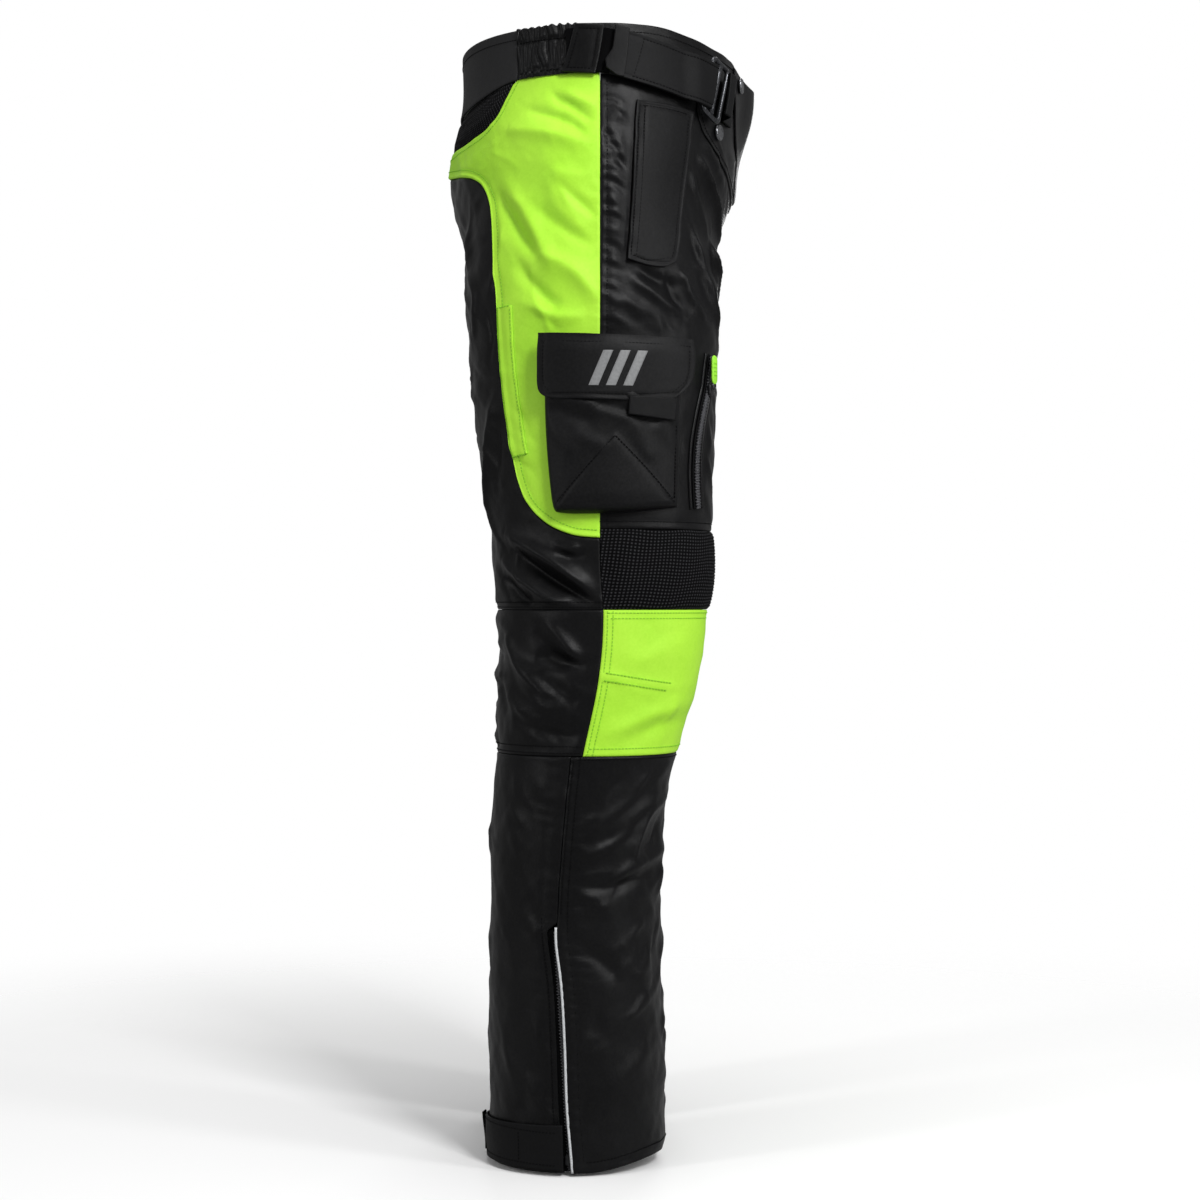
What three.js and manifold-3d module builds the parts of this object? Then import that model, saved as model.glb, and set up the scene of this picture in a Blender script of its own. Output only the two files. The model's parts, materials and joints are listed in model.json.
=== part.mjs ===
// Protective forestry trousers, standing as worn: waistband, legs, pockets, zips, straps and the pads inside.
// Millimetres, +Z up. X points forwards and Y to the wearer's left; the origin is on the floor, midway between
// the hems. Every cloth piece lies on one skin surface. A point of the skin is (u, z): u is the angle in degrees
// round one leg, 0 at the front, 90 on the outer side, 180 at the back, and -90 or 270 on the inseam.
import * as THREE from "three";
import { mergeVertices } from "three/addons/utils/BufferGeometryUtils.js";
import Module from "manifold-3d";

const wasm = await Module();
wasm.setup();

// ---- driving dimensions ----
const HEM = 0;
const ANKLE_ZIP_TOP = 226;
const KNEE_LOW = 383; // seam under the knee panel
const KNEE_HIGH = 518; // seam between the knee panel and the ribbed stretch panel
const STRETCH_TOP = 592; // top of the ribbed stretch panel
const GREEN_LOW = 584; // lowest point of the side panel
const CROTCH = 775;
const HIP_FULL = 930; // above this height the two leg sections have joined into one oval
const WAIST_LOW = 1013;
const WAIST_TOP = 1060;
const BACK_RISE = 2; // how much higher the waistband is at the back
const BACK_DROP = 13; // how much lower its back panel reaches
const FRONT_DIP = 12; // how much lower the whole waistband is at the front
const INSEAM = -90;
const CENTRE = -60; // u of the centre front on the joined oval; the centre back is 180 - CENTRE
const OVAL_SHARE = 0.6; // degrees of the oval for each degree of u

const CLOTH = 2.5; // outer cloth and lining together
const SEAM = 0.5; // clearance from a panel's edge to the seam line
const FLY_OPEN = 6; // half the width of the fly's slot
const FLY_LOW = 896;
const PAD = 5; // thickness of the cut-protection layers
const KNEE_PAD = 8;
const UNDER = 5.2; // how far inside the skin an inner pad starts
const STRAP_WIDTH = 40;
const WEB = 2; // thickness of straps and flaps
const SNAP_RADIUS = 7.5;

// Half of the body: height, front x, back x, outer half-width, inner edge of the leg.
const PROFILE = [
  [HEM, 60, -104, 188, 38],
  [110, 60, -105, 188, 36],
  [230, 57, -104, 187, 34],
  [320, 60, -102, 187, 30],
  [KNEE_LOW, 73, -98, 188, 27],
  [450, 92, -96, 190, 24],
  [KNEE_HIGH, 102, -97, 191, 21],
  [STRETCH_TOP, 106, -104, 193, 15],
  [680, 108, -117, 195, 7],
  [CROTCH, 112, -125, 197, 1],
  [850, 119, -138, 198, 0],
  [HIP_FULL, 131, -148, 196, 0],
  [968, 134, -145, 190, 0],
  [WAIST_LOW, 137, -135, 180, 0],
  [WAIST_TOP, 136, -135, 177, 0],
  [1069, 135, -137, 177, 0],
];

// ---- materials ----
const cloth = (color, roughness) => new THREE.MeshStandardMaterial({ color, roughness, metalness: 0 });
const BLACK = cloth(0x17171a, 0.62);
const GREEN = cloth(0x9fe23c, 0.7);
const KNIT = cloth(0x0b0b0c, 0.95);
const SMOOTH = cloth(0x2e2e30, 0.7);
const WEBBING = cloth(0x232325, 0.75);
const ZIP = cloth(0x3a3a3c, 0.5);
const PADDING = cloth(0xd8cfa8, 0.9);
const FOAM = cloth(0x4a5a6a, 0.8);
const METAL = new THREE.MeshStandardMaterial({ color: 0x55565a, roughness: 0.35, metalness: 0.9 });

// ---- the skin surface ----
const lerp = THREE.MathUtils.lerp;
const smooth = (x, from, to) => THREE.MathUtils.smoothstep(x, from, to);

// One column of PROFILE at height z, as a smooth curve through the rows.
function profile(column, z) {
  const last = PROFILE.length - 1;
  const i = Math.min(Math.max(PROFILE.findIndex((row) => row[0] > z) - 1, 0), last - 1);
  const k = z >= PROFILE[last][0] ? last - 1 : i;
  const slope = (n) => {
    const a = PROFILE[Math.max(n - 1, 0)];
    const b = PROFILE[Math.min(n + 1, last)];
    return (b[column] - a[column]) / (b[0] - a[0]);
  };
  const [p, q] = [PROFILE[k], PROFILE[k + 1]];
  const span = q[0] - p[0];
  const t = THREE.MathUtils.clamp((z - p[0]) / span, 0, 1);
  const [m0, m1] = [slope(k) * span, slope(k + 1) * span];
  const t2 = t * t;
  const t3 = t2 * t;
  return (2 * t3 - 3 * t2 + 1) * p[column] + (t3 - 2 * t2 + t) * m0
    + (3 * t2 - 2 * t3) * q[column] + (t3 - t2) * m1;
}

// The skin's section at height z: x forwards, and y outwards from the middle of the body.
function section(u, z) {
  const [front, back, outer, inner] = [1, 2, 3, 4].map((column) => profile(column, z));
  const centre = (front + back) / 2;
  const half = (front - back) / 2;
  const angle = THREE.MathUtils.degToRad(u);
  const oval = THREE.MathUtils.degToRad(OVAL_SHARE * (u - CENTRE));
  const joined = smooth(z, CROTCH, HIP_FULL);
  const legY = (outer + inner) / 2 + ((outer - inner) / 2) * Math.sin(angle);
  return new THREE.Vector2(
    centre + half * lerp(Math.cos(angle), Math.cos(oval), joined),
    lerp(legY, outer * Math.sin(oval), joined),
  );
}

// The outward direction of the skin, level with the floor.
function outward(u, z) {
  const step = section(u + 0.5, z).sub(section(u - 0.5, z)).normalize();
  return new THREE.Vector2(step.y, -step.x);
}

// A point at a distance outside the skin, on the wearer's right.
function skin(u, z, offset = 0) {
  const p = section(u, z).addScaledVector(outward(u, z), offset);
  return new THREE.Vector3(p.x, -p.y, z);
}

// Finds t between lo and hi where a rising function reaches value.
function solve(f, value, lo, hi) {
  for (let i = 0; i < 40; i++) {
    const mid = (lo + hi) / 2;
    if (f(mid) < value) lo = mid;
    else hi = mid;
  }
  return (lo + hi) / 2;
}

// The skin point with a given x, on the outer side of the body.
const atX = (x, z) => [solve((u) => -section(u, z).x, -x, -20, 200), z];
// The skin point beside the centre front at distance y from the middle; the centre back mirrors it in u.
const atFront = (y, z) => [solve((u) => section(u, z).y, y, z < HIP_FULL ? INSEAM : -150, 20), z];
const atBack = (y, z) => [180 - atFront(y, z)[0], z];

// ---- the waistband's edges ----
const facing = (u) => Math.cos(THREE.MathUtils.degToRad(OVAL_SHARE * (u - CENTRE)));
const dip = (u) => FRONT_DIP * smooth(facing(u), 0.3, 1);
const bandTop = (u) => WAIST_TOP + BACK_RISE * smooth(-facing(u), 0.5, 1) - dip(u);
const bandLow = (u) => WAIST_LOW - BACK_DROP * smooth(-facing(u), 0.55, 1) - dip(u);

// ---- curves in (u, z) ----
const line = (a, b) => (t) => [lerp(a[0], b[0], t), lerp(a[1], b[1], t)];

// A smooth curve through points, with the same share of t for each step between them.
function through(points) {
  const last = points.length - 1;
  const curve = new THREE.SplineCurve(points.map(([u, z]) => new THREE.Vector2(u, z)));
  return (t) => (t >= 1 ? points[last] : curve.getPoint(t).toArray());
}

const side = (points) => through(points.map(([x, z]) => atX(x, z)));
const upright = (x, low, high) => (t) => atX(x, lerp(low, high, t));
const part = (curve, from, to) => (t) => curve(lerp(from, to, t));

// The inner edge of a panel: up the inseam, round the crotch and up the centre seam.
const innerEdge = (at, inseam, low, high, gap = () => 0) => (t) => {
  const z = lerp(low, high, t);
  return z < CROTCH ? [inseam, z] : at(gap(z), z);
};

// ---- solids ----
// A closed solid from two matching grids of points, an outer and an inner one.
function shell(outer, inner) {
  const [rows, columns] = [outer.length, outer[0].length];
  const points = [...outer.flat(), ...inner.flat()];
  const count = rows * columns;
  const faces = [];
  const quad = (a, b, c, d) => faces.push(a, b, c, a, c, d);
  const at = (i, j) => i * columns + j;
  for (let i = 0; i < rows - 1; i++) {
    for (let j = 0; j < columns - 1; j++) {
      quad(at(i, j), at(i, j + 1), at(i + 1, j + 1), at(i + 1, j));
      quad(count + at(i, j), count + at(i + 1, j), count + at(i + 1, j + 1), count + at(i, j + 1));
    }
  }
  for (let j = 0; j < columns - 1; j++) {
    quad(at(0, j), count + at(0, j), count + at(0, j + 1), at(0, j + 1));
    quad(at(rows - 1, j), at(rows - 1, j + 1), count + at(rows - 1, j + 1), count + at(rows - 1, j));
  }
  for (let i = 0; i < rows - 1; i++) {
    quad(at(i, 0), at(i + 1, 0), count + at(i + 1, 0), count + at(i, 0));
    quad(at(i, columns - 1), count + at(i, columns - 1), count + at(i + 1, columns - 1), at(i + 1, columns - 1));
  }
  const geometry = new THREE.BufferGeometry();
  geometry.setAttribute("position", new THREE.Float32BufferAttribute(points.flatMap((p) => p.toArray()), 3));
  geometry.setIndex(faces);
  return outwards(geometry);
}

// Turns every face round if the solid is inside out.
function outwards(geometry) {
  const p = geometry.getAttribute("position");
  const index = geometry.index.array;
  const [a, b, c] = [0, 1, 2].map(() => new THREE.Vector3());
  let volume = 0;
  for (let i = 0; i < index.length; i += 3) {
    [a, b, c].forEach((v, k) => v.fromBufferAttribute(p, index[i + k]));
    volume += a.dot(b.cross(c));
  }
  if (volume < 0) {
    for (let i = 0; i < index.length; i += 3) [index[i + 1], index[i + 2]] = [index[i + 2], index[i + 1]];
  }
  return geometry;
}

// A piece of cloth between four edge curves: low and high run the same way, and so do start and end.
function cloth4({ low, high, start, end }, columns, rows, outer = 0, thickness = CLOTH, seam = SEAM) {
  const patch = (s, t) => [0, 1].map((k) => {
    const ruled = lerp(low(s)[k], high(s)[k], t) + lerp(start(t)[k], end(t)[k], s);
    return ruled - lerp(lerp(low(0)[k], low(1)[k], s), lerp(high(0)[k], high(1)[k], s), t);
  });
  const size = (a, b, c) => skin(...a).distanceTo(skin(...b)) + skin(...b).distanceTo(skin(...c));
  const inset = (length) => Math.min(seam / length, 0.1);
  const grid = (offset) => Array.from({ length: rows + 1 }, (_, i) =>
    Array.from({ length: columns + 1 }, (_, j) => {
      const [s, t] = [j / columns, i / rows];
      const edgeS = inset(size(patch(0, t), patch(0.5, t), patch(1, t)));
      const edgeT = inset(size(patch(s, 0), patch(s, 0.5), patch(s, 1)));
      return skin(...patch(lerp(edgeS, 1 - edgeS, s), lerp(edgeT, 1 - edgeT, t)), offset);
    }));
  return shell(grid(outer), grid(outer - thickness));
}

// A strip laid on the skin along a path. Each outline point is [sideways, outwards] from the path.
function sweep(path, outline) {
  const ring = path.map(([u, z], i) => {
    const perDegree = section(u + 0.5, z).distanceTo(section(u - 0.5, z));
    const before = path[Math.max(i - 1, 0)];
    const after = path[Math.min(i + 1, path.length - 1)];
    const along = new THREE.Vector2((after[0] - before[0]) * perDegree, after[1] - before[1]).normalize();
    return outline.map(([a, b]) => skin(u - (along.y * a) / perDegree, z + along.x * a, b));
  });
  const n = outline.length;
  const faces = [];
  ring.slice(1).forEach((_, i) => outline.forEach((_, j) => {
    const [a, b] = [i * n + j, i * n + ((j + 1) % n)];
    faces.push(a, b, b + n, a, b + n, a + n);
  }));
  const cap = THREE.ShapeUtils.triangulateShape(outline.map(([a, b]) => new THREE.Vector2(a, b)), []);
  const end = (ring.length - 1) * n;
  cap.forEach(([a, b, c]) => faces.push(a, c, b, end + a, end + b, end + c));
  const geometry = new THREE.BufferGeometry();
  geometry.setAttribute("position", new THREE.Float32BufferAttribute(ring.flat().flatMap((p) => p.toArray()), 3));
  geometry.setIndex(faces);
  return outwards(geometry);
}

const flat = (width, from, to) => [[-width / 2, from], [width / 2, from], [width / 2, to], [-width / 2, to]];
const steps = (curve, count) => Array.from({ length: count + 1 }, (_, i) => curve(i / count));

// A zip's tape with its closed chain standing up along the middle.
const zipOutline = (base, tape = 24, chain = 6) => [
  [-tape / 2, base], [0, base], [tape / 2, base], [tape / 2, base + 0.8], [chain / 2, base + 0.8],
  [chain / 2, base + 2], [-chain / 2, base + 2], [-chain / 2, base + 0.8], [-tape / 2, base + 0.8],
];

function solid(geometry) {
  const bare = new THREE.BufferGeometry();
  bare.setAttribute("position", geometry.getAttribute("position").clone());
  bare.setIndex(geometry.index);
  const merged = mergeVertices(bare, 1e-3);
  return new wasm.Manifold(new wasm.Mesh({
    numProp: 3,
    vertProperties: merged.getAttribute("position").array,
    triVerts: new Uint32Array(merged.index.array),
  }));
}

function cut(body, ...tools) {
  const made = tools.reduce((left, tool) => left.subtract(solid(tool)), solid(body)).getMesh();
  const geometry = new THREE.BufferGeometry();
  geometry.setAttribute("position", new THREE.BufferAttribute(new Float32Array(made.vertProperties), 3));
  geometry.setIndex(new THREE.BufferAttribute(new Uint32Array(made.triVerts), 1));
  return geometry;
}

// ---- assembly ----
const trousers = new THREE.Group();

function add(name, geometry, material, mirrored = false) {
  const mesh = new THREE.Mesh(geometry, material);
  mesh.name = name;
  if (mirrored) mesh.scale.y = -1;
  trousers.add(mesh);
  return mesh;
}

// The same piece for the right side and, mirrored, for the left.
function pair(name, geometry, material) {
  add(`${name}_right`, geometry, material);
  add(`${name}_left`, geometry, material, true);
}

// Stands a flat shape, drawn with y up, on the skin at (u, z), facing outwards and leaning by a twist in degrees.
function standing(shape, depth, at, offset, twist = 0) {
  const geometry = new THREE.ExtrudeGeometry(shape, { depth, bevelEnabled: false, curveSegments: 4 });
  geometry.rotateZ(THREE.MathUtils.degToRad(twist));
  return place(geometry, at, offset);
}

// Moves a geometry from the XY plane onto the skin at (u, z), with its +Z facing outwards.
function place(geometry, [u, z], offset) {
  const n = outward(u, z);
  const normal = new THREE.Vector3(n.x, -n.y, 0);
  const up = new THREE.Vector3(0, 0, 1);
  const along = new THREE.Vector3().crossVectors(up, normal);
  geometry.applyMatrix4(new THREE.Matrix4().makeBasis(along, up, normal).setPosition(skin(u, z, offset)));
  geometry.deleteAttribute("normal");
  geometry.deleteAttribute("uv");
  return outwards(mergeVertices(geometry, 1e-3));
}

function roundedBox(width, height, radius, to = new THREE.Shape(), x = -width / 2, y = -height / 2) {
  to.moveTo(x + radius, y);
  to.lineTo(x + width - radius, y);
  to.absarc(x + width - radius, y + radius, radius, -Math.PI / 2, 0);
  to.lineTo(x + width, y + height - radius);
  to.absarc(x + width - radius, y + height - radius, radius, 0, Math.PI / 2);
  to.lineTo(x + radius, y + height);
  to.absarc(x + radius, y + height - radius, radius, Math.PI / 2, Math.PI);
  to.lineTo(x, y + radius);
  to.absarc(x + radius, y + radius, radius, Math.PI, 1.5 * Math.PI);
  return to;
}

// ---- seam lines, as [x, z] on the outer side ----
const OUTSEAM_KNEE = [[-16, KNEE_LOW], [-9, 415], [-2, 450], [2, 485], [3, KNEE_HIGH]];
const OUTSEAM_SHIN = [
  [-23, HEM], [-28, 60], [-30, 115], [-33, 170], [-39, ANKLE_ZIP_TOP], [-35, 300], [-27, KNEE_LOW],
];
const ZIP_SLOT = 10;
const GREEN_BELOW = [
  [0, GREEN_LOW], [-26, 587], [-51, 599], [-69, 620], [-80, 654], [-87, 693], [-93, 749], [-96, 806],
  [-100, 862], [-103, 898], [-110, 916], [-120, 926], [-132, 932],
].map(([x, z]) => atX(x, z)).concat([[222, 940], [180 - CENTRE, 945]]);
const GREEN_ABOVE = [
  [0, WAIST_LOW], [-10, WAIST_LOW], [-20, WAIST_LOW], [-30, WAIST_LOW], [-40, WAIST_LOW], [-50, WAIST_LOW],
  [-60, WAIST_LOW], [-70, WAIST_LOW], [-80, 1011], [-87, 998], [-96, 982], [-110, 970], [-130, 964],
].map(([x, z]) => atX(x, z)).concat([[222, 963], [180 - CENTRE, 963]]);
const greenBelow = through(GREEN_BELOW);
const seatTop = through(GREEN_BELOW.map(([u, z], i) => [i < 13 ? u + 0.7 : u, z - 1]));
const greenAbove = through(GREEN_ABOVE);
const outseamLow = through([atX(3, KNEE_HIGH), atX(1, 550), seatTop(0)]);
const outseamKnee = side(OUTSEAM_KNEE);
const outseamShin = side(OUTSEAM_SHIN);

// ---- legs ----
const flyGap = (z) => FLY_OPEN * smooth(z, FLY_LOW - 12, FLY_LOW);
const frontTop = atFront(FLY_OPEN, WAIST_LOW - FRONT_DIP);
function frontHigh(t) {
  const u = lerp(frontTop[0], atX(0, WAIST_LOW)[0], t);
  return [u, bandLow(u)];
}
pair("front_panel", cloth4({
  low: line([INSEAM, STRETCH_TOP], atX(0, STRETCH_TOP)),
  high: frontHigh,
  start: innerEdge(atFront, INSEAM, STRETCH_TOP, frontTop[1], flyGap),
  end: upright(0, STRETCH_TOP, WAIST_LOW),
}, 10, 10), BLACK);
pair("side_panel", cloth4({
  low: greenBelow,
  high: greenAbove,
  start: upright(0, GREEN_LOW, WAIST_LOW),
  end: line([180 - CENTRE, 945], [180 - CENTRE, 963]),
}, 14, 7, 0, CLOTH, 0.9), GREEN);
pair("seat_panel", cloth4({
  low: line(atX(3, KNEE_HIGH), [180 - INSEAM, KNEE_HIGH]),
  high: seatTop,
  start: outseamLow,
  end: innerEdge(atBack, 180 - INSEAM, KNEE_HIGH, 944),
}, 14, 8), BLACK);
pair("knee_stretch_panel", cloth4({
  low: line([INSEAM, KNEE_HIGH], atX(3, KNEE_HIGH)),
  high: line([INSEAM, STRETCH_TOP], atX(0, STRETCH_TOP)),
  start: line([INSEAM, KNEE_HIGH], [INSEAM, STRETCH_TOP]),
  end: side([[3, KNEE_HIGH], [1, 550], [0, STRETCH_TOP]]),
}, 10, 2, 1.5, 4), KNIT);
pair("knee_panel", cloth4({
  low: line([INSEAM, KNEE_LOW], atX(-16, KNEE_LOW)),
  high: line([INSEAM, KNEE_HIGH], atX(3, KNEE_HIGH)),
  start: line([INSEAM, KNEE_LOW], [INSEAM, KNEE_HIGH]),
  end: outseamKnee,
}, 10, 4), GREEN);
pair("back_knee_panel", cloth4({
  low: line(atX(-16, KNEE_LOW), [180 - INSEAM, KNEE_LOW]),
  high: line(atX(3, KNEE_HIGH), [180 - INSEAM, KNEE_HIGH]),
  start: outseamKnee,
  end: line([180 - INSEAM, KNEE_LOW], [180 - INSEAM, KNEE_HIGH]),
}, 10, 4), BLACK);
pair("shin_panel", cloth4({
  low: line([INSEAM, HEM], atX(-23, HEM)),
  high: line([INSEAM, KNEE_LOW], atX(-27, KNEE_LOW)),
  start: line([INSEAM, HEM], [INSEAM, KNEE_LOW]),
  end: outseamShin,
}, 10, 6), BLACK);
const calfEdge = side(OUTSEAM_SHIN.map(([x, z]) => [x - (z <= ANKLE_ZIP_TOP ? ZIP_SLOT : 0), z]));
pair("calf_panel", cloth4({
  low: line(atX(-23 - ZIP_SLOT, HEM), [180 - INSEAM, HEM]),
  high: line(atX(-27, KNEE_LOW), [180 - INSEAM, KNEE_LOW]),
  start: calfEdge,
  end: line([180 - INSEAM, HEM], [180 - INSEAM, KNEE_LOW]),
}, 10, 6), BLACK);

// ---- inner pads ----
const padBetween = (u0, u1, z0, z1) => ({
  low: line([u0, z0], [u1, z0]),
  high: line([u0, z1], [u1, z1]),
  start: line([u0, z0], [u0, z1]),
  end: line([u1, z0], [u1, z1]),
});
pair("thigh_cut_guard", cloth4(padBetween(-72, 76, STRETCH_TOP + 10, CROTCH - 8), 8, 4, -UNDER, PAD), PADDING);
pair("shin_cut_guard", cloth4(padBetween(-72, 70, 62, KNEE_LOW - 12), 8, 6, -UNDER, PAD), PADDING);
pair("knee_pad", cloth4(padBetween(-46, 50, KNEE_LOW + 14, KNEE_HIGH - 10), 6, 4, -UNDER, KNEE_PAD), FOAM);

// ---- thigh pocket and its flap ----
const POCKET = { rear: -50, rearLow: -42, front: 70, frontLow: 68, low: 606, high: 760, deep: 14, wall: 1.5 };
const FLAP = { rear: -52, front: 77, low: 710, high: 770, rearLow: -47, frontLow: 69 };
const pocketBody = cloth4({
  low: side([[POCKET.rearLow, POCKET.low], [20, POCKET.low], [POCKET.frontLow, POCKET.low]]),
  high: side([[POCKET.rear, POCKET.high], [20, POCKET.high], [POCKET.front, POCKET.high]]),
  start: side([[POCKET.rearLow, POCKET.low], [-48, 680], [POCKET.rear, POCKET.high]]),
  end: side([[POCKET.frontLow, POCKET.low], [70, 680], [POCKET.front, POCKET.high]]),
}, 8, 5, POCKET.deep, POCKET.deep - 1.6, 0.1);
const pocketRoom = padBetween(
  atX(POCKET.frontLow - 3, 700)[0], atX(POCKET.rearLow + 3, 700)[0], POCKET.low + 4, POCKET.high + 20,
);
pair("cargo_pocket", cut(
  pocketBody,
  cloth4(pocketRoom, 8, 5, POCKET.deep - POCKET.wall, POCKET.deep - 2 * POCKET.wall - 1.6, 0),
), BLACK);
pair("cargo_flap", cloth4({
  low: side([[FLAP.rearLow, FLAP.low + 4], [-20, FLAP.low], [30, FLAP.low], [FLAP.frontLow, FLAP.low + 6]]),
  high: side([[FLAP.rear, FLAP.high], [-20, FLAP.high], [40, FLAP.high], [FLAP.front, FLAP.high]]),
  start: side([[FLAP.rearLow, FLAP.low + 4], [FLAP.rear, 735], [FLAP.rear, FLAP.high]]),
  end: side([[FLAP.frontLow, FLAP.low + 6], [FLAP.front, 735], [FLAP.front, FLAP.high]]),
}, 8, 3, POCKET.deep + 1.7 + WEB, WEB, 0), BLACK);

// ---- hip pocket flap, hinged on its front edge ----
pair("hip_flap", cloth4({
  low: side([[24, 839], [46, 834], [67, 840]]),
  high: side([[33, 988], [60, 987], [86, 984]]),
  start: side([[24, 839], [29, 915], [33, 988]]),
  end: side([[67, 840], [78, 915], [86, 984]]),
}, 4, 5, 3.4, WEB, 0), BLACK);

// ---- vent zip on the front of the thigh ----
const VENT = { lowU: 36, highU: 22, low: 612, high: 757 };
function ventAt(z) {
  return [lerp(VENT.lowU, VENT.highU, (z - VENT.low) / (VENT.high - VENT.low)), z];
}
const SLIDER = { width: 8, length: 11, deep: 3, z: 724 };
const PULL = { width: 10, length: 29, deep: 1.8, z: 727 };
pair("vent_zip", sweep([VENT.low, VENT.high].map(ventAt), zipOutline(1.8)), ZIP);
pair("vent_slider", standing(
  roundedBox(SLIDER.width, SLIDER.length, 2.5), SLIDER.deep, ventAt(SLIDER.z), 4.8,
), METAL);
const pullShape = roundedBox(PULL.width, PULL.length, 4.5, new THREE.Shape(), -PULL.width / 2, 0);
pullShape.holes.push(new THREE.Path().absarc(0, 3.8, 1.8, 0, 2 * Math.PI));
pair("vent_pull", standing(pullShape, PULL.deep, ventAt(PULL.z), 8.6), GREEN);

// ---- ankle zip and strap ----
const ANKLE_STRAP = { low: 2, high: 42, front: -31, rearU: 186 };
const ankleZipAt = (z) => atX(lerp(-28, -42, z / ANKLE_ZIP_TOP), z);
pair("ankle_zip", sweep(
  steps((t) => ankleZipAt(lerp(HEM + 1, ANKLE_ZIP_TOP - 3, t)), 6), zipOutline(-CLOTH - 3.4, 22, 4.5),
), ZIP);
pair("ankle_slider", standing(roundedBox(7, 10, 2), 1.8, ankleZipAt(12), -CLOTH), METAL);
pair("ankle_strap", cloth4({
  low: line(atX(ANKLE_STRAP.front, ANKLE_STRAP.low), [ANKLE_STRAP.rearU, ANKLE_STRAP.low]),
  high: line(atX(ANKLE_STRAP.front, ANKLE_STRAP.high), [ANKLE_STRAP.rearU, ANKLE_STRAP.high]),
  start: line(atX(ANKLE_STRAP.front, ANKLE_STRAP.low), atX(ANKLE_STRAP.front, ANKLE_STRAP.high)),
  end: line([ANKLE_STRAP.rearU, ANKLE_STRAP.low], [ANKLE_STRAP.rearU, ANKLE_STRAP.high]),
}, 9, 1, 1.6 + WEB, WEB, 0), WEBBING);

// ---- waistband, from the fly to the back ----
const BAND = { thick: 4, outer: 1.5 };
const ELASTIC = { front: -20, rear: -77 };
function bandPiece(from, to, columns) {
  const low = (t) => [lerp(from, to, t), bandLow(lerp(from, to, t))];
  const high = (t) => [lerp(from, to, t), bandTop(lerp(from, to, t))];
  const edges = { low, high, start: line(low(0), high(0)), end: line(low(1), high(1)) };
  return cloth4(edges, columns, 2, BAND.outer, BAND.thick);
}
const bandFront = atFront(1, WAIST_LOW)[0];
const elasticFront = atX(ELASTIC.front, WAIST_LOW)[0];
const elasticRear = atX(ELASTIC.rear, WAIST_LOW)[0];
const mirroredU = (u) => 2 * (180 - CENTRE) - u;
pair("waistband_front", bandPiece(bandFront, elasticFront, 8), BLACK);
pair("waistband_elastic", bandPiece(elasticFront, elasticRear, 3), BLACK);
add("waistband_back", bandPiece(elasticRear, mirroredU(elasticRear), 12), SMOOTH);

// ---- stretch yoke between the back of the waistband and the side panels ----
const yokeLow = greenAboveFrom(8 / 14);
function greenAboveFrom(start) {
  return (t) => {
    const [u, z] = part(greenAbove, start, 1)(t < 0.5 ? 2 * t : 2 - 2 * t);
    return [t < 0.5 ? u : mirroredU(u), z + 0.8];
  };
}
const yokeFrom = yokeLow(0)[0];
const yokeHigh = (t) => {
  const u = lerp(yokeFrom, mirroredU(yokeFrom), t);
  return [u, bandLow(u) - 0.6];
};
add("back_stretch_yoke", cloth4({
  low: yokeLow,
  high: yokeHigh,
  start: line(yokeLow(0), yokeHigh(0)),
  end: line(yokeLow(1), yokeHigh(1)),
}, 12, 3), KNIT);

// ---- waist adjuster ----
const STRAP_AT = { patchRear: -34, level: 5, front: 97, highAt: 1034, lowAt: 1009 };
const strapLine = (x) => atX(x, lerp(
  STRAP_AT.highAt, STRAP_AT.lowAt, Math.max((x - STRAP_AT.level) / (STRAP_AT.front - STRAP_AT.level), 0),
));
const baseAt = BAND.outer + 1;
pair("strap_base", sweep(
  [STRAP_AT.patchRear, -16, 4, 28, 52, 76, STRAP_AT.front - 1].map(strapLine),
  flat(STRAP_WIDTH, baseAt, baseAt + WEB),
), WEBBING);
pair("waist_strap", sweep(
  [12, 30, 48, 66, 84, STRAP_AT.front].map(strapLine),
  flat(STRAP_WIDTH, baseAt + 7.6, baseAt + 7.6 + WEB),
), WEBBING);
const BUCKLE = { width: 30, height: 58, bar: 4.5, deep: 3.2 };
const BUCKLE_AT = atX(105, 1007);
const BUCKLE_LEAN = -20;
const buckleShape = roundedBox(BUCKLE.width, BUCKLE.height, 4);
const slotWidth = (BUCKLE.width - 3 * BUCKLE.bar) / 2;
[-BUCKLE.width / 2 + BUCKLE.bar, BUCKLE.bar / 2].forEach((x) => {
  buckleShape.holes.push(roundedBox(
    slotWidth, BUCKLE.height - 2 * BUCKLE.bar, 2, new THREE.Path(), x, -BUCKLE.height / 2 + BUCKLE.bar,
  ));
});
pair("buckle", standing(buckleShape, BUCKLE.deep, BUCKLE_AT, baseAt + WEB + 0.8, BUCKLE_LEAN), METAL);
pair("buckle_loop", sweep(
  [114, 118, 121, 124].map((x) => atX(x, lerp(1005, 1002, (x - 114) / 10))),
  flat(STRAP_WIDTH, baseAt, baseAt + WEB),
), WEBBING);

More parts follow.
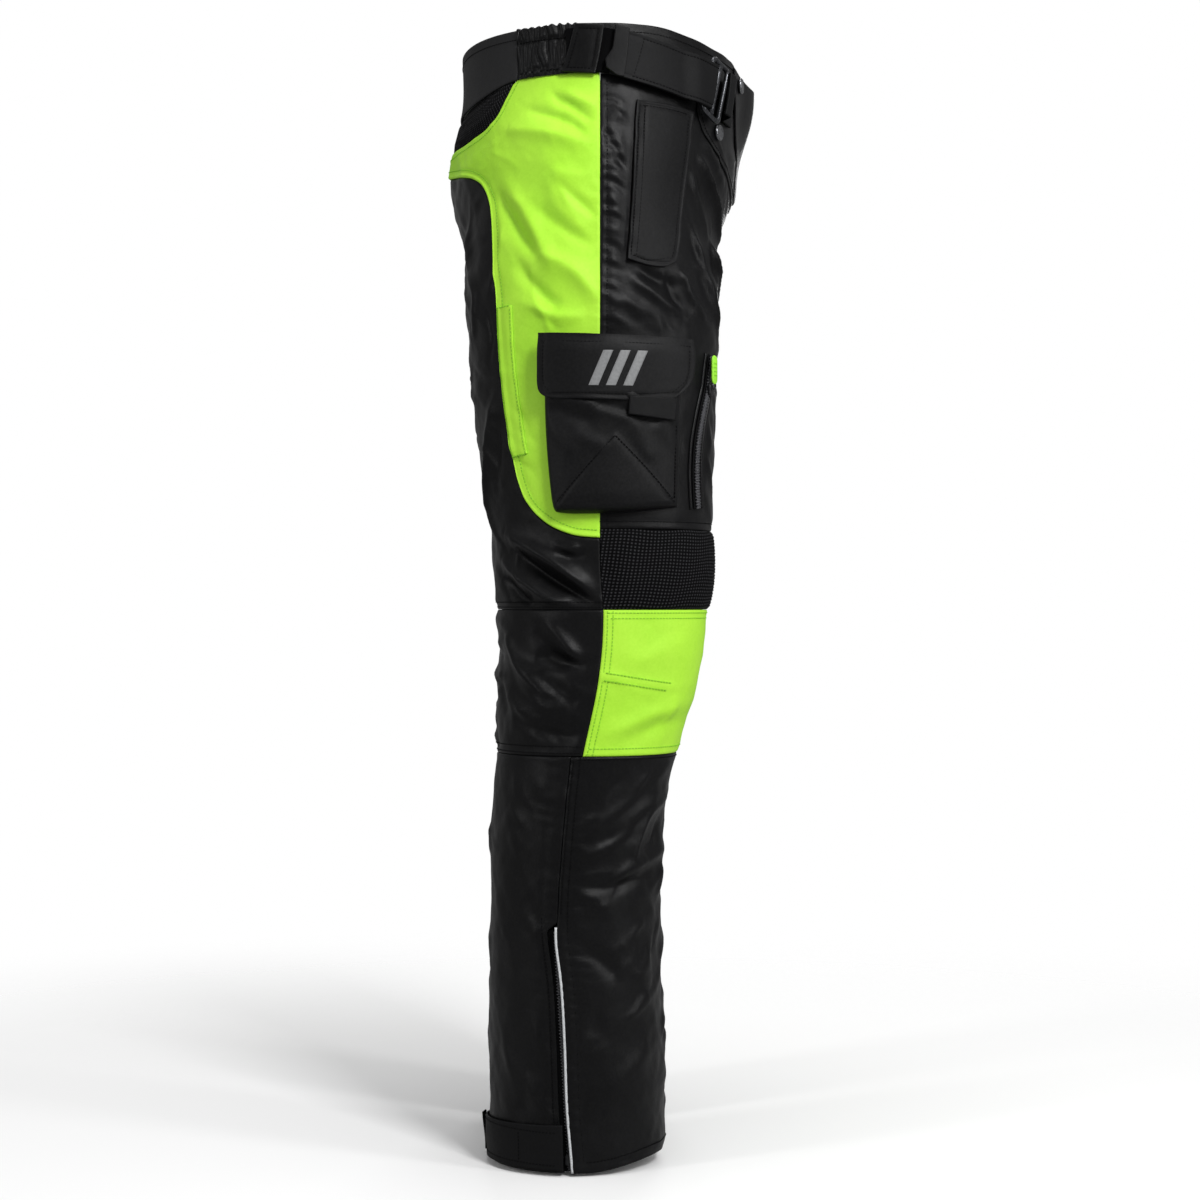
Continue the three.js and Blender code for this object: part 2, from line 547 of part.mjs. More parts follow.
// ---- fly ----
const FLY = { high: 1045, low: 922, leftY: -16, rightTop: 62, rightLow: 30, outer: 7 };
add("fly_flap", cloth4({
  low: line(atFront(FLY.leftY + 4, FLY.low), atFront(FLY.rightLow, FLY.low)),
  high: line(atFront(FLY.leftY, FLY.high), atFront(FLY.rightTop, FLY.high)),
  start: through([atFront(FLY.leftY + 4, FLY.low), atFront(FLY.leftY, 985), atFront(FLY.leftY, FLY.high)]),
  end: through([atFront(FLY.rightLow, FLY.low), atFront(50, 975), atFront(FLY.rightTop, FLY.high)]),
}, 6, 5, FLY.outer, WEB, 0), BLACK);
const snapProfile = [[0, 0], [SNAP_RADIUS, 0], [SNAP_RADIUS, 1.6], [SNAP_RADIUS - 1.6, 3], [0, 3]]
  .map(([x, y]) => new THREE.Vector2(x, y));
function snap(at, height) {
  const geometry = new THREE.LatheGeometry(snapProfile, 20);
  geometry.rotateX(Math.PI / 2);
  return place(geometry, at, height + 0.6);
}
add("snap_upper", snap(atFront(51, 1028), FLY.outer), METAL);
add("snap_lower", snap(atFront(106, 972), 0), METAL);
const flyEnds = [FLY_LOW + 8, WAIST_LOW - 8].map((z) => atFront(0, z));
add("fly_zip", sweep(flyEnds, zipOutline(-CLOTH - 5.5, 18, 6)), ZIP);
add("fly_slider", standing(roundedBox(8, 12, 2.5), 3.6, [CENTRE, WAIST_LOW - 18], -5.2), METAL);

// ---- loop inside the back of the waistband, for a peg ----
const LOOP = { width: 60, z: 1044, tall: 9, thick: 2, stand: 9 };
const loopBack = profile(2, LOOP.z) + BAND.thick - BAND.outer + 2;
const loopPlan = new THREE.Shape();
loopPlan.moveTo(0, -LOOP.width / 2);
loopPlan.lineTo(LOOP.stand, -LOOP.width / 2);
loopPlan.lineTo(LOOP.stand, LOOP.width / 2);
loopPlan.lineTo(0, LOOP.width / 2);
loopPlan.lineTo(0, LOOP.width / 2 - LOOP.thick);
loopPlan.lineTo(LOOP.stand - LOOP.thick, LOOP.width / 2 - LOOP.thick);
loopPlan.lineTo(LOOP.stand - LOOP.thick, LOOP.thick - LOOP.width / 2);
loopPlan.lineTo(0, LOOP.thick - LOOP.width / 2);
const loop = new THREE.ExtrudeGeometry(loopPlan, { depth: LOOP.tall, bevelEnabled: false });
loop.translate(loopBack, 0, LOOP.z - LOOP.tall / 2);
add("hanger_loop", loop, WEBBING);

export default trousers;
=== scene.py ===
"""Looks of a pair of protective forestry trousers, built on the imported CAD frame.

Lengths are in millimetres until a mesh is made. A point of the cloth is (u, z): u is the angle in degrees
round one leg, 0 at the front, 90 on the outer side, 180 at the back, and -90 or 270 on the inseam.
Everything is built for the wearer's right side, where y is negative, and mirrored for the left.
"""

import json
import math

import bpy
import numpy as np
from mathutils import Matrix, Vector


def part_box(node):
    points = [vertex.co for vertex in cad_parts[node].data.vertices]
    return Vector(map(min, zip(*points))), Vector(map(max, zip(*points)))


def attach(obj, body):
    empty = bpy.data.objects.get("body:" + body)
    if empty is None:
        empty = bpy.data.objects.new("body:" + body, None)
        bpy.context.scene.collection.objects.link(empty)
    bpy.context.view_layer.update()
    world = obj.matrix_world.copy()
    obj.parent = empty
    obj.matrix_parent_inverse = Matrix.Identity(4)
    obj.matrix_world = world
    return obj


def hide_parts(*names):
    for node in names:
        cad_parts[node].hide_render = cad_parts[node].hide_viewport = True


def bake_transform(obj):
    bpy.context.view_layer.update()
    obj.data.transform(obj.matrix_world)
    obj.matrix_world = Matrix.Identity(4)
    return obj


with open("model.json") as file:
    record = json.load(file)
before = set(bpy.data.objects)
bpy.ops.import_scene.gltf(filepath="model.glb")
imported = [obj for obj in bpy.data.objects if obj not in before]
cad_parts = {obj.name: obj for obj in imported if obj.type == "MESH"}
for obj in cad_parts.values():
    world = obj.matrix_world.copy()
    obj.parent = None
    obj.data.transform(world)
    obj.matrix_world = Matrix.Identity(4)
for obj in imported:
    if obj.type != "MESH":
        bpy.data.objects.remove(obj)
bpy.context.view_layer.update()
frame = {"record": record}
SIDES = ("right", "left")

# ---- the garment's lines, as in the CAD ----
HEM, ANKLE_ZIP_TOP = 0.0, 226.0
KNEE_LOW, KNEE_HIGH, STRETCH_TOP, GREEN_LOW = 383.0, 518.0, 592.0, 584.0
CROTCH, HIP_FULL = 775.0, 930.0
WAIST_LOW, WAIST_TOP = 1013.0, 1060.0
BACK_RISE, BACK_DROP, FRONT_DIP = 2.0, 13.0, 12.0
INSEAM, CENTRE, OVAL_SHARE = -90.0, -60.0, 0.6
BACK_CENTRE, REAR_INSEAM = 180 - CENTRE, 180 - INSEAM
CLOTH = 1.6

# Height, front x, back x, outer half-width, inner edge of the leg.
PROFILE = np.array([
    [0, 60, -104, 188, 38], [110, 60, -105, 188, 36], [230, 57, -104, 187, 34], [320, 60, -102, 187, 30],
    [383, 73, -98, 188, 27], [450, 92, -96, 190, 24], [518, 102, -97, 191, 21], [592, 106, -104, 193, 15],
    [680, 108, -117, 195, 7], [775, 112, -125, 197, 1], [850, 119, -138, 198, 0], [930, 131, -148, 196, 0],
    [968, 134, -145, 190, 0], [1013, 137, -135, 180, 0], [1060, 136, -135, 177, 0], [1069, 135, -137, 177, 0],
], float)


def smooth(x, a, b):
    t = np.clip((np.asarray(x, float) - a) / (b - a), 0, 1)
    return t * t * (3 - 2 * t)


def mix(a, b, t):
    return a + (b - a) * t


def hermite(heights, values, z):
    """A smooth curve through values that are given at heights."""
    z = np.asarray(z, float)
    last = len(heights) - 1
    k = np.clip(np.searchsorted(heights, z, side="right") - 1, 0, last - 1)
    before, after = np.maximum(np.arange(last + 1) - 1, 0), np.minimum(np.arange(last + 1) + 1, last)
    slope = (values[after] - values[before]) / (heights[after] - heights[before])
    span = heights[k + 1] - heights[k]
    t = np.clip((z - heights[k]) / span, 0, 1)
    t2, t3 = t * t, t ** 3
    return ((2 * t3 - 3 * t2 + 1) * values[k] + (t3 - 2 * t2 + t) * slope[k] * span
            + (3 * t2 - 2 * t3) * values[k + 1] + (t3 - t2) * slope[k + 1] * span)


def profile(column, z):
    return hermite(PROFILE[:, 0], PROFILE[:, column], z)


def section(u, z):
    front, back, outer, inner = (profile(c, z) for c in (1, 2, 3, 4))
    centre, half = (front + back) / 2, (front - back) / 2
    angle, oval = np.radians(u), np.radians(OVAL_SHARE * (np.asarray(u) - CENTRE))
    joined = smooth(z, CROTCH, HIP_FULL)
    leg = (outer + inner) / 2 + (outer - inner) / 2 * np.sin(angle)
    x = centre + half * mix(np.cos(angle), np.cos(oval), joined)
    return x, mix(leg, outer * np.sin(oval), joined)


def outward(u, z):
    x0, y0 = section(np.asarray(u) - 0.5, z)
    x1, y1 = section(np.asarray(u) + 0.5, z)
    dx, dy = x1 - x0, y1 - y0
    size = np.hypot(dx, dy)
    return dy / size, -dx / size


def skin(u, z, offset=0.0):
    u, z = np.broadcast_arrays(np.asarray(u, float), np.asarray(z, float))
    x, y = section(u, z)
    nx, ny = outward(u, z)
    return np.stack([x + nx * offset, -(y + ny * offset), z], -1)


def per_degree(u, z):
    x0, y0 = section(np.asarray(u) - 0.5, z)
    x1, y1 = section(np.asarray(u) + 0.5, z)
    return np.hypot(x1 - x0, y1 - y0)


def bisect(f, value, lo, hi):
    value = np.asarray(value, float)
    lo, hi = np.broadcast_to(lo, value.shape).astype(float), np.broadcast_to(hi, value.shape).astype(float)
    for _ in range(36):
        mid = (lo + hi) / 2
        below = f(mid) < value
        lo, hi = np.where(below, mid, lo), np.where(below, hi, mid)
    return (lo + hi) / 2


def at_x(x, z):
    """The point of the outer side with this x."""
    x, z = np.broadcast_arrays(np.asarray(x, float), np.asarray(z, float))
    return np.stack([bisect(lambda u: -section(u, z)[0], -x, -20.0, 200.0), z], -1)


def at_front(y, z):
    """The point beside the centre front at this distance from the middle."""
    y, z = np.broadcast_arrays(np.asarray(y, float), np.asarray(z, float))
    lo = np.where(z < HIP_FULL, INSEAM, -150.0)
    return np.stack([bisect(lambda u: section(u, z)[1], y, lo, 20.0), z], -1)


def at_back(y, z):
    p = at_front(y, z)
    return np.stack([180 - p[..., 0], p[..., 1]], -1)


def facing(u):
    return np.cos(np.radians(OVAL_SHARE * (np.asarray(u) - CENTRE)))


def dip(u):
    return FRONT_DIP * smooth(facing(u), 0.3, 1)


def band_top(u):
    return WAIST_TOP + BACK_RISE * smooth(-facing(u), 0.5, 1) - dip(u) - 13.0 * smooth(facing(u), 0.92, 1)


def band_low(u):
    return WAIST_LOW - BACK_DROP * smooth(-facing(u), 0.55, 1) - dip(u)


# ---- curves in (u, z): each takes an array of t from 0 to 1 ----


def line(a, b):
    a, b = np.asarray(a, float), np.asarray(b, float)
    return lambda t: a + (b - a) * np.asarray(t)[..., None]


def through(points):
    p = np.asarray(points, float)
    last = len(p) - 1

    def curve(t):
        q = np.clip(np.asarray(t, float), 0, 1) * last
        k = np.minimum(q.astype(int), last - 1)
        w = (q - k)[..., None]
        p0, p1, p2, p3 = p[np.maximum(k - 1, 0)], p[k], p[k + 1], p[np.minimum(k + 2, last)]
        v0, v1 = (p2 - p0) / 2, (p3 - p1) / 2
        return (2 * p1 - 2 * p2 + v0 + v1) * w ** 3 + (-3 * p1 + 3 * p2 - 2 * v0 - v1) * w ** 2 + v0 * w + p1

    return curve


def polyline(points):
    """Straight steps through (x, z) points of the outer side, with sharp corners."""
    p = at_x(*np.array(points, float).T)
    shares = np.linspace(0, 1, len(p))
    return lambda t: np.stack([np.interp(t, shares, p[:, 0]), np.interp(t, shares, p[:, 1])], -1)


def side(points):
    p = np.asarray(points, float)
    return through(at_x(p[:, 0], p[:, 1]))


def upright(x, low, high):
    return lambda t: at_x(x, mix(low, high, np.asarray(t)))


def piece_of(curve, a, b):
    return lambda t: curve(mix(a, b, np.asarray(t)))


def inner_edge(at, inseam, low, high, gap=lambda z: 0.0 * z):
    def curve(t):
        z = mix(low, high, np.asarray(t, float))
        seam = at(gap(z), z)
        return np.where((z < CROTCH)[..., None], np.stack([np.full_like(z, inseam), z], -1), seam)

    return curve


def corners(a, b, c, d):
    """The edges of a patch with corners low start, low end, high start and high end."""
    return dict(low=line(a, b), high=line(c, d), start=line(a, c), end=line(b, d))


def box_edges(u0, u1, z0, z1):
    return corners((u0, z0), (u1, z0), (u0, z1), (u1, z1))


def ends(curve):
    return curve(np.array([0.0, 1.0]))


def between_curves(low, high):
    """The edges of a patch between two curves, with straight sides."""
    (a, b), (c, d) = ends(low), ends(high)
    return dict(low=low, high=high, start=line(a, c), end=line(b, d))


def level(height):
    """A height over the skin that is the same everywhere."""
    return lambda u, z: height


def length(curve, offset=0.0):
    p = curve(np.linspace(0, 1, 41))
    q = skin(p[:, 0], p[:, 1], offset)
    return float(np.linalg.norm(np.diff(q, axis=0), axis=1).sum())


def strip(path, width):
    """The four edges of a strip that follows a path at a constant width."""
    def shifted(k):
        def curve(t):
            t = np.asarray(t, float)
            p, a, b = path(t), path(np.maximum(t - 0.01, 0)), path(np.minimum(t + 0.01, 1))
            scale = per_degree(p[..., 0], p[..., 1])
            du, dz = (b[..., 0] - a[..., 0]) * scale, b[..., 1] - a[..., 1]
            size = np.hypot(du, dz)
            return np.stack([p[..., 0] - dz / size * k / scale, p[..., 1] + du / size * k], -1)
        return curve

    return between_curves(shifted(-width / 2), shifted(width / 2))


# ---- drape: how far the cloth stands off the smooth skin ----
U_STEP, Z_STEP = 1.0, 2.0
U_GRID = np.arange(-160, 301, U_STEP)
Z_GRID = np.arange(-12, 1104, Z_STEP)
UU, ZZ = np.meshgrid(U_GRID, Z_GRID, indexing="ij")


def value_noise(cell_u, cell_z, seed, tilt=0.0):
    """Smooth noise from -1 to 1 over the grid, with cells in millimetres along the cloth."""
    rng = np.random.default_rng(seed)
    table = rng.uniform(-1, 1, (256, 256))
    a = UU * 1.9 / cell_u + ZZ * tilt / cell_u + 40
    b = ZZ / cell_z + 40
    i, j = np.floor(a).astype(int), np.floor(b).astype(int)
    fa, fb = a - i, b - j
    fa, fb = fa * fa * (3 - 2 * fa), fb * fb * (3 - 2 * fb)

    def pick(m, n):
        return table[m % 256, n % 256]

    return mix(mix(pick(i, j), pick(i + 1, j), fa), mix(pick(i, j + 1), pick(i + 1, j + 1), fa), fb)


def press(field, curve, height, width):
    """Adds a ridge along a curve to the field, or a valley if the height is negative."""
    q = curve(np.linspace(0, 1, 17))
    reach = 3.2 * width
    first = np.searchsorted(U_GRID, q[:, 0].min() - reach / 1.2)
    last = np.searchsorted(U_GRID, q[:, 0].max() + reach / 1.2)
    low = np.searchsorted(Z_GRID, q[:, 1].min() - reach)
    high = np.searchsorted(Z_GRID, q[:, 1].max() + reach)
    window = (slice(first, last), slice(low, high))
    u, z = UU[window], ZZ[window]
    best = np.full(u.shape, 1e9)
    along = np.zeros(u.shape)
    for k in range(len(q) - 1):
        scale = per_degree(q[k, 0], q[k, 1])
        ax, az = (u - q[k, 0]) * scale, z - q[k, 1]
        bx, bz = (q[k + 1, 0] - q[k, 0]) * scale, q[k + 1, 1] - q[k, 1]
        t = np.clip((ax * bx + az * bz) / (bx * bx + bz * bz), 0, 1)
        d = np.hypot(ax - t * bx, az - t * bz)
        near = d < best
        best = np.where(near, d, best)
        along = np.where(near, (k + t) / (len(q) - 1), along)
    taper = np.sin(np.pi * np.clip(along, 0.03, 0.97)) ** 0.7
    field[window] += height * taper * np.exp(-(best / width) ** 1.6)


def scattered(seed, count, u_range, z_range, lean, height):
    """Short random creases: lean is their mean slope in degrees, rising to the rear."""
    rng = np.random.default_rng(seed)
    for _ in range(count):
        u, z = rng.uniform(*u_range), rng.uniform(*z_range)
        angle = math.radians(lean + rng.normal(0, 16))
        half = rng.uniform(10, 30)
        du, dz = math.cos(angle) * half / float(per_degree(u, z)), math.sin(angle) * half
        bend = rng.uniform(-0.25, 0.25)
        middle = (u - bend * dz / 1.8, z + bend * du * 1.8)
        size = height * rng.uniform(0.5, 1.3) * rng.choice([-1.0, 1.0, 1.0])
        yield through([(u - du, z - dz), middle, (u + du, z + dz)]), size, rng.uniform(2.8, 5.2)


# Ridges and valleys of the worn cloth: [x, z] points, height, half-width.
FOLDS = [
    # bright side panel
    ([(-86, 966), (-50, 958), (-8, 944)], 3.0, 8), ([(-68, 982), (-30, 966), (-12, 952)], -3.2, 5),
    ([(-94, 905), (-80, 876), (-56, 840)], -4.2, 6), ([(-84, 912), (-62, 872), (-42, 828)], 3.0, 8),
    ([(-56, 846), (-24, 828), (0, 800)], 3.6, 9), ([(-78, 842), (-58, 812), (-36, 792)], -3.4, 6),
    ([(-44, 994), (-24, 980), (-6, 966)], -3.2, 4), ([(-45, 925), (-30, 890), (-14, 862)], 2.6, 11),
    ([(-40, 912), (-20, 892), (-4, 880)], -2.8, 5), ([(-70, 800), (-40, 788), (-12, 786)], 2.6, 7),
    ([(-58, 888), (-34, 868), (-8, 852)], -2.4, 6), ([(-36, 1000), (-18, 988), (-4, 980)], 2.2, 5),
    # front of the thigh: long sharp ridges
    ([(84, 936), (94, 896), (107, 850), (112, 806)], 5.2, 5), ([(92, 948), (108, 910), (117, 868)], 4.6, 4.5),
    ([(78, 898), (92, 852), (104, 812), (110, 780)], 5.0, 5),
    ([(88, 916), (101, 872), (109, 830)], -4.2, 4.5),
    ([(28, 822), (44, 812), (60, 800), (84, 792)], 3.4, 6), ([(32, 838), (48, 824), (70, 818)], -3.2, 6),
    ([(76, 836), (82, 812), (98, 788)], 3.6, 5), ([(64, 826), (70, 806), (84, 790)], -3.0, 5),
    ([(92, 980), (104, 950), (118, 925)], 2.4, 7), ([(14, 806), (34, 796), (56, 788)], 1.8, 6),
    # back of the thigh
    ([(-122, 905), (-124, 870), (-122, 840)], 1.8, 6), ([(-124, 836), (-117, 812), (-119, 770)], 2.2, 5),
    ([(-98, 718), (-106, 668), (-104, 610), (-92, 580)], 3.0, 6),
    ([(-92, 700), (-97, 660), (-96, 622)], -2.0, 6),
    # above the back knee seam: deep folds that fall towards the outer seam
    ([(-90, 590), (-52, 568), (-22, 546), (-2, 528)], 6.0, 8),
    ([(-84, 578), (-54, 552), (-24, 534), (-5, 525)], -6.0, 6.5),
    ([(-92, 566), (-72, 546), (-46, 528), (-30, 520)], 5.0, 7),
    ([(-92, 550), (-78, 532), (-62, 522)], -5.5, 7),
    ([(-44, 580), (-30, 574), (-18, 576)], 2.5, 5), ([(-40, 572), (-26, 566), (-14, 570)], -2.2, 5),
    # back knee panel
    ([(-54, 512), (-38, 494), (-24, 478), (-18, 468)], 4.0, 6.5),
    ([(-62, 500), (-48, 480), (-34, 466)], -3.2, 7),
    ([(-60, 476), (-38, 470), (-10, 468)], -5.2, 6),
    ([(-88, 498), (-76, 470), (-52, 444), (-20, 432)], 5.0, 6.5),
    ([(-76, 456), (-52, 430), (-34, 428)], 2.6, 7), ([(-52, 452), (-34, 438), (-22, 430)], -4.0, 6),
    ([(-86, 440), (-62, 420), (-48, 416)], 2.6, 8), ([(-60, 408), (-38, 402), (-20, 402)], -3.6, 6),
    ([(-84, 412), (-60, 402), (-40, 396)], 2.0, 7), ([(-92, 470), (-90, 440), (-86, 420)], -1.6, 7),
    # bright knee panel
    ([(88, 436), (60, 424), (24, 410), (4, 402)], 2.0, 9), ([(84, 420), (56, 410), (20, 396)], -1.4, 8),
    ([(70, 440), (66, 424), (60, 404)], 1.2, 9), ([(80, 492), (50, 476), (20, 470)], 1.2, 12),
    # front of the shin: folds that fall backwards
    ([(62, 372), (36, 346), (4, 322), (-14, 306)], 2.8, 7), ([(52, 362), (26, 336), (0, 316)], -2.4, 6),
    ([(58, 350), (34, 328), (16, 306), (-20, 288)], 2.8, 7), ([(44, 332), (20, 312), (-4, 302)], -2.2, 7),
    ([(62, 342), (46, 330), (33, 300), (30, 286)], 3.6, 6), ([(56, 322), (50, 300), (40, 290)], -3.2, 6),
    ([(58, 300), (40, 284), (16, 272)], 2.6, 7), ([(50, 276), (28, 266), (2, 262), (-12, 264)], -2.6, 4.5),
    ([(56, 282), (55, 262), (54, 248)], 2.4, 6), ([(-22, 258), (-10, 252), (10, 240)], 1.8, 7),
    # lower leg: broad and shallow
    ([(-22, 214), (-6, 200), (8, 188), (12, 178)], -2.4, 8), ([(24, 186), (38, 178), (48, 168)], 2.4, 9),
    ([(48, 212), (44, 196), (46, 180)], 1.8, 7), ([(0, 160), (-4, 140), (-6, 124)], -1.8, 8),
    ([(50, 110), (26, 92), (6, 66)], 1.8, 12), ([(-90, 116), (-80, 84), (-72, 58)], 2.2, 8),
    ([(-68, 92), (-58, 66), (-50, 48)], 2.2, 7), ([(-84, 96), (-74, 68), (-66, 50)], -1.6, 7),
    ([(-62, 150), (-58, 122), (-48, 98)], 1.6, 9), ([(-90, 330), (-80, 310), (-72, 296)], 1.2, 12),
    ([(-60, 360), (-44, 348), (-30, 346)], 1.4, 7),
]


# Where random creases lie: seed, count, range of u, range of z, slope, height.
CREASES = [
    (11, 60, (-85, 95), (40, 370), -35, 1.7), (12, 40, (95, 265), (40, 370), 60, 1.4),
    (13, 46, (98, 262), (392, 512), 24, 1.7), (14, 34, (104, 255), (530, 900), 72, 1.4),
    (15, 60, (-70, 82), (620, 980), 58, 1.7), (16, 34, (96, 180), (600, 1000), 32, 1.2),
    (17, 26, (-90, -50), (400, 780), 20, 1.4), (18, 26, (225, 268), (400, 780), -20, 1.4),
    (19, 16, (-80, 90), (395, 505), 16, 0.8), (20, 24, (180, 262), (600, 930), 20, 1.2),
    (21, 14, (150, 235), (920, 990), 10, 0.6),
]


def outseam_puckers():
    """Short wrinkles that run forwards from the outer seam of the thigh."""
    rng = np.random.default_rng(5)
    z = 776.0
    while z < 990:
        z += rng.uniform(6.5, 12.5)
        far, lean = rng.uniform(16, 32), rng.uniform(-17, -4)
        size = rng.uniform(1.1, 2.3)
        yield side([(0.5, z), (far / 2, z + lean * 0.2), (far, z + lean)]), size, rng.uniform(2.6, 4.8)


def seam_band(centre, half, fade):
    return 1 - smooth(np.abs(ZZ - centre), half, half + fade)


FOLD_STRENGTH = 1.5


def make_drape():
    """Height of the cloth over the skin on the (u, z) grid, in millimetres."""
    unseen = np.clip((60 - UU) / 60, 0, 1) + np.clip((UU - 150) / 40, 0, 1)
    unseen = np.clip(unseen, 0, 1)
    crumple = 0.3 * value_noise(13, 17, 31, 0.6) + 0.22 * value_noise(8, 9, 32, -0.5)
    field = 0.55 * value_noise(46, 60, 1, 0.5) + 0.35 * value_noise(22, 30, 2, -0.4) + crumple
    crease = 1 - np.abs(value_noise(52, 46, 3, 0.9)) * 2.2
    field += unseen * 1.5 * np.clip(crease, -0.4, 1)
    crease = 1 - np.abs(value_noise(40, 66, 4, -0.8)) * 2.4
    field += 0.9 * mix(0.35, 1, unseen) * np.clip(crease, -0.4, 1)
    knee_back = np.exp(-((ZZ - 470) / 75) ** 2) * smooth(UU, 165, 195)
    field += knee_back * 2.0 * np.sin(ZZ / 8.5 + UU / 40) + knee_back * 1.0
    crotch = np.exp(-((ZZ - 800) / 60) ** 2) * (smooth(-UU, 30, 70) + smooth(UU, 210, 250))
    field += crotch * 2.0 * np.sin((ZZ - 1.1 * np.abs(UU - 90)) / 9.0)
    for points, height, width in FOLDS:
        press(field, side(points), FOLD_STRENGTH * height, width)
    for region in CREASES:
        for curve, height, width in scattered(*region):
            press(field, curve, height, width)
    for curve, height, width in outseam_puckers():
        press(field, curve, height, width)
    return field


VENT_LOW, VENT_HIGH = 612.0, 757.0


def ankle_zip_x(z):
    """The ankle zip slants backwards as it rises."""
    return mix(-28, -42, z / ANKLE_ZIP_TOP)


def vent_u(z):
    """The vent zip runs down the front of the thigh and slants outwards."""
    return mix(36.0, 22.0, (np.asarray(z, float) - VENT_LOW) / (VENT_HIGH - VENT_LOW))


DEEPEST, HIGHEST = -7.5, 8.5


def masks(field):
    """Presses the drape flat where seams, pockets and stiff parts hold the cloth."""
    x, y = section(UU, ZZ)
    keep = np.ones(UU.shape)
    pocket = smooth(x, -64, -48) * (1 - smooth(x, 72, 80)) * smooth(ZZ, 594, 606) * (1 - smooth(ZZ, 768, 780))
    pocket *= smooth(UU, 20, 34)
    keep *= 1 - 0.95 * pocket
    vent = (1 - smooth(np.abs(UU - vent_u(ZZ)), 6, 12)) * smooth(ZZ, 596, 612) * (1 - smooth(ZZ, 757, 772))
    keep *= 1 - 0.9 * vent
    hip = smooth(x, 18, 27) * (1 - smooth(x, 84, 92)) * smooth(ZZ, 826, 838) * (1 - smooth(ZZ, 986, 996))
    hip *= smooth(UU, 10, 30) * (UU < 150)
    keep *= 1 - 0.9 * hip
    keep *= 1 - smooth(ZZ, 984, 1006) * 0.95
    keep *= 1 - 0.85 * smooth(x, 86, 98) * smooth(ZZ, 952, 976)
    keep *= 1 - 0.85 * seam_band(KNEE_LOW, 1, 9)
    keep *= 1 - 0.8 * seam_band(KNEE_HIGH, 1, 8)
    front_half = 1 - smooth(UU, 90, 100)
    keep *= 1 - 0.85 * seam_band(STRETCH_TOP, 1, 9) * front_half
    keep *= 1 - 0.9 * smooth(ZZ, 524, 534) * (1 - smooth(ZZ, 578, 590)) * front_half
    keep *= 1 - 0.75 * (1 - smooth(ZZ, 4, 22))
    keep *= 1 - 0.6 * (1 - smooth(UU, 20, 45)) * smooth(ZZ, 384, 396) * (1 - smooth(ZZ, 506, 520))
    ankle = (1 - smooth(np.abs(x - ankle_zip_x(ZZ)), 8, 18)) * (1
                                                                - smooth(ZZ, 232,
                                                                         262)) * (UU > 40) * (UU < 160)
    keep *= 1 - 0.85 * ankle
    middle = 1 - smooth(y, 4, 26)
    keep *= 1 - 0.95 * middle * smooth(ZZ, CROTCH - 60, CROTCH)
    field = field * keep
    inside = 1 - smooth(np.abs(y), 12, 40)
    legs = 1 - smooth(ZZ, 600, CROTCH)
    field = np.clip(field, DEEPEST, HIGHEST)
    return np.where(inside * legs > 0, np.minimum(field, 4.0), field)


DRAPE = masks(make_drape())


def drape(u, z):
    a = np.clip((np.asarray(u) - U_GRID[0]) / U_STEP, 0, len(U_GRID) - 1.001)
    b = np.clip((np.asarray(z) - Z_GRID[0]) / Z_STEP, 0, len(Z_GRID) - 1.001)
    i, j = a.astype(int), b.astype(int)
    fa, fb = a - i, b - j
    low = mix(DRAPE[i, j], DRAPE[i + 1, j], fa)
    return mix(low, mix(DRAPE[i, j + 1], DRAPE[i + 1, j + 1], fa), fb)


def prow(u, z):
    """The centre front stands forward near its top, where the closure holds it."""
    y = section(u, z)[1]
    return 7.0 * (1 - smooth(np.abs(y), 4, 48)) * smooth(z, 935, 1030)


def pucker(u, z, line_x, reach=9.0, pitch=9.0, size=0.5):
    """Small ripples beside an upright stitched seam."""
    x, _ = section(u, z)
    near = np.exp(-((x - line_x) / (reach * (1 + 0.5 * np.sin(z / 23.0)))) ** 2)
    uneven = 0.5 + 0.5 * np.sin(z / 37.0 + x / 13.0) * np.sin(z / 11.3)
    return size * near * uneven * np.sin(z / pitch * 2 * math.pi + 2.6 * np.sin(z / 31.0) + 1.6
                                         * np.sin(z / 12.7) + x / 9.0)


# ---- materials ----


def socket(node, *names):
    for name in names:
        if name in node.inputs:
            return node.inputs[name]
    raise KeyError(names)


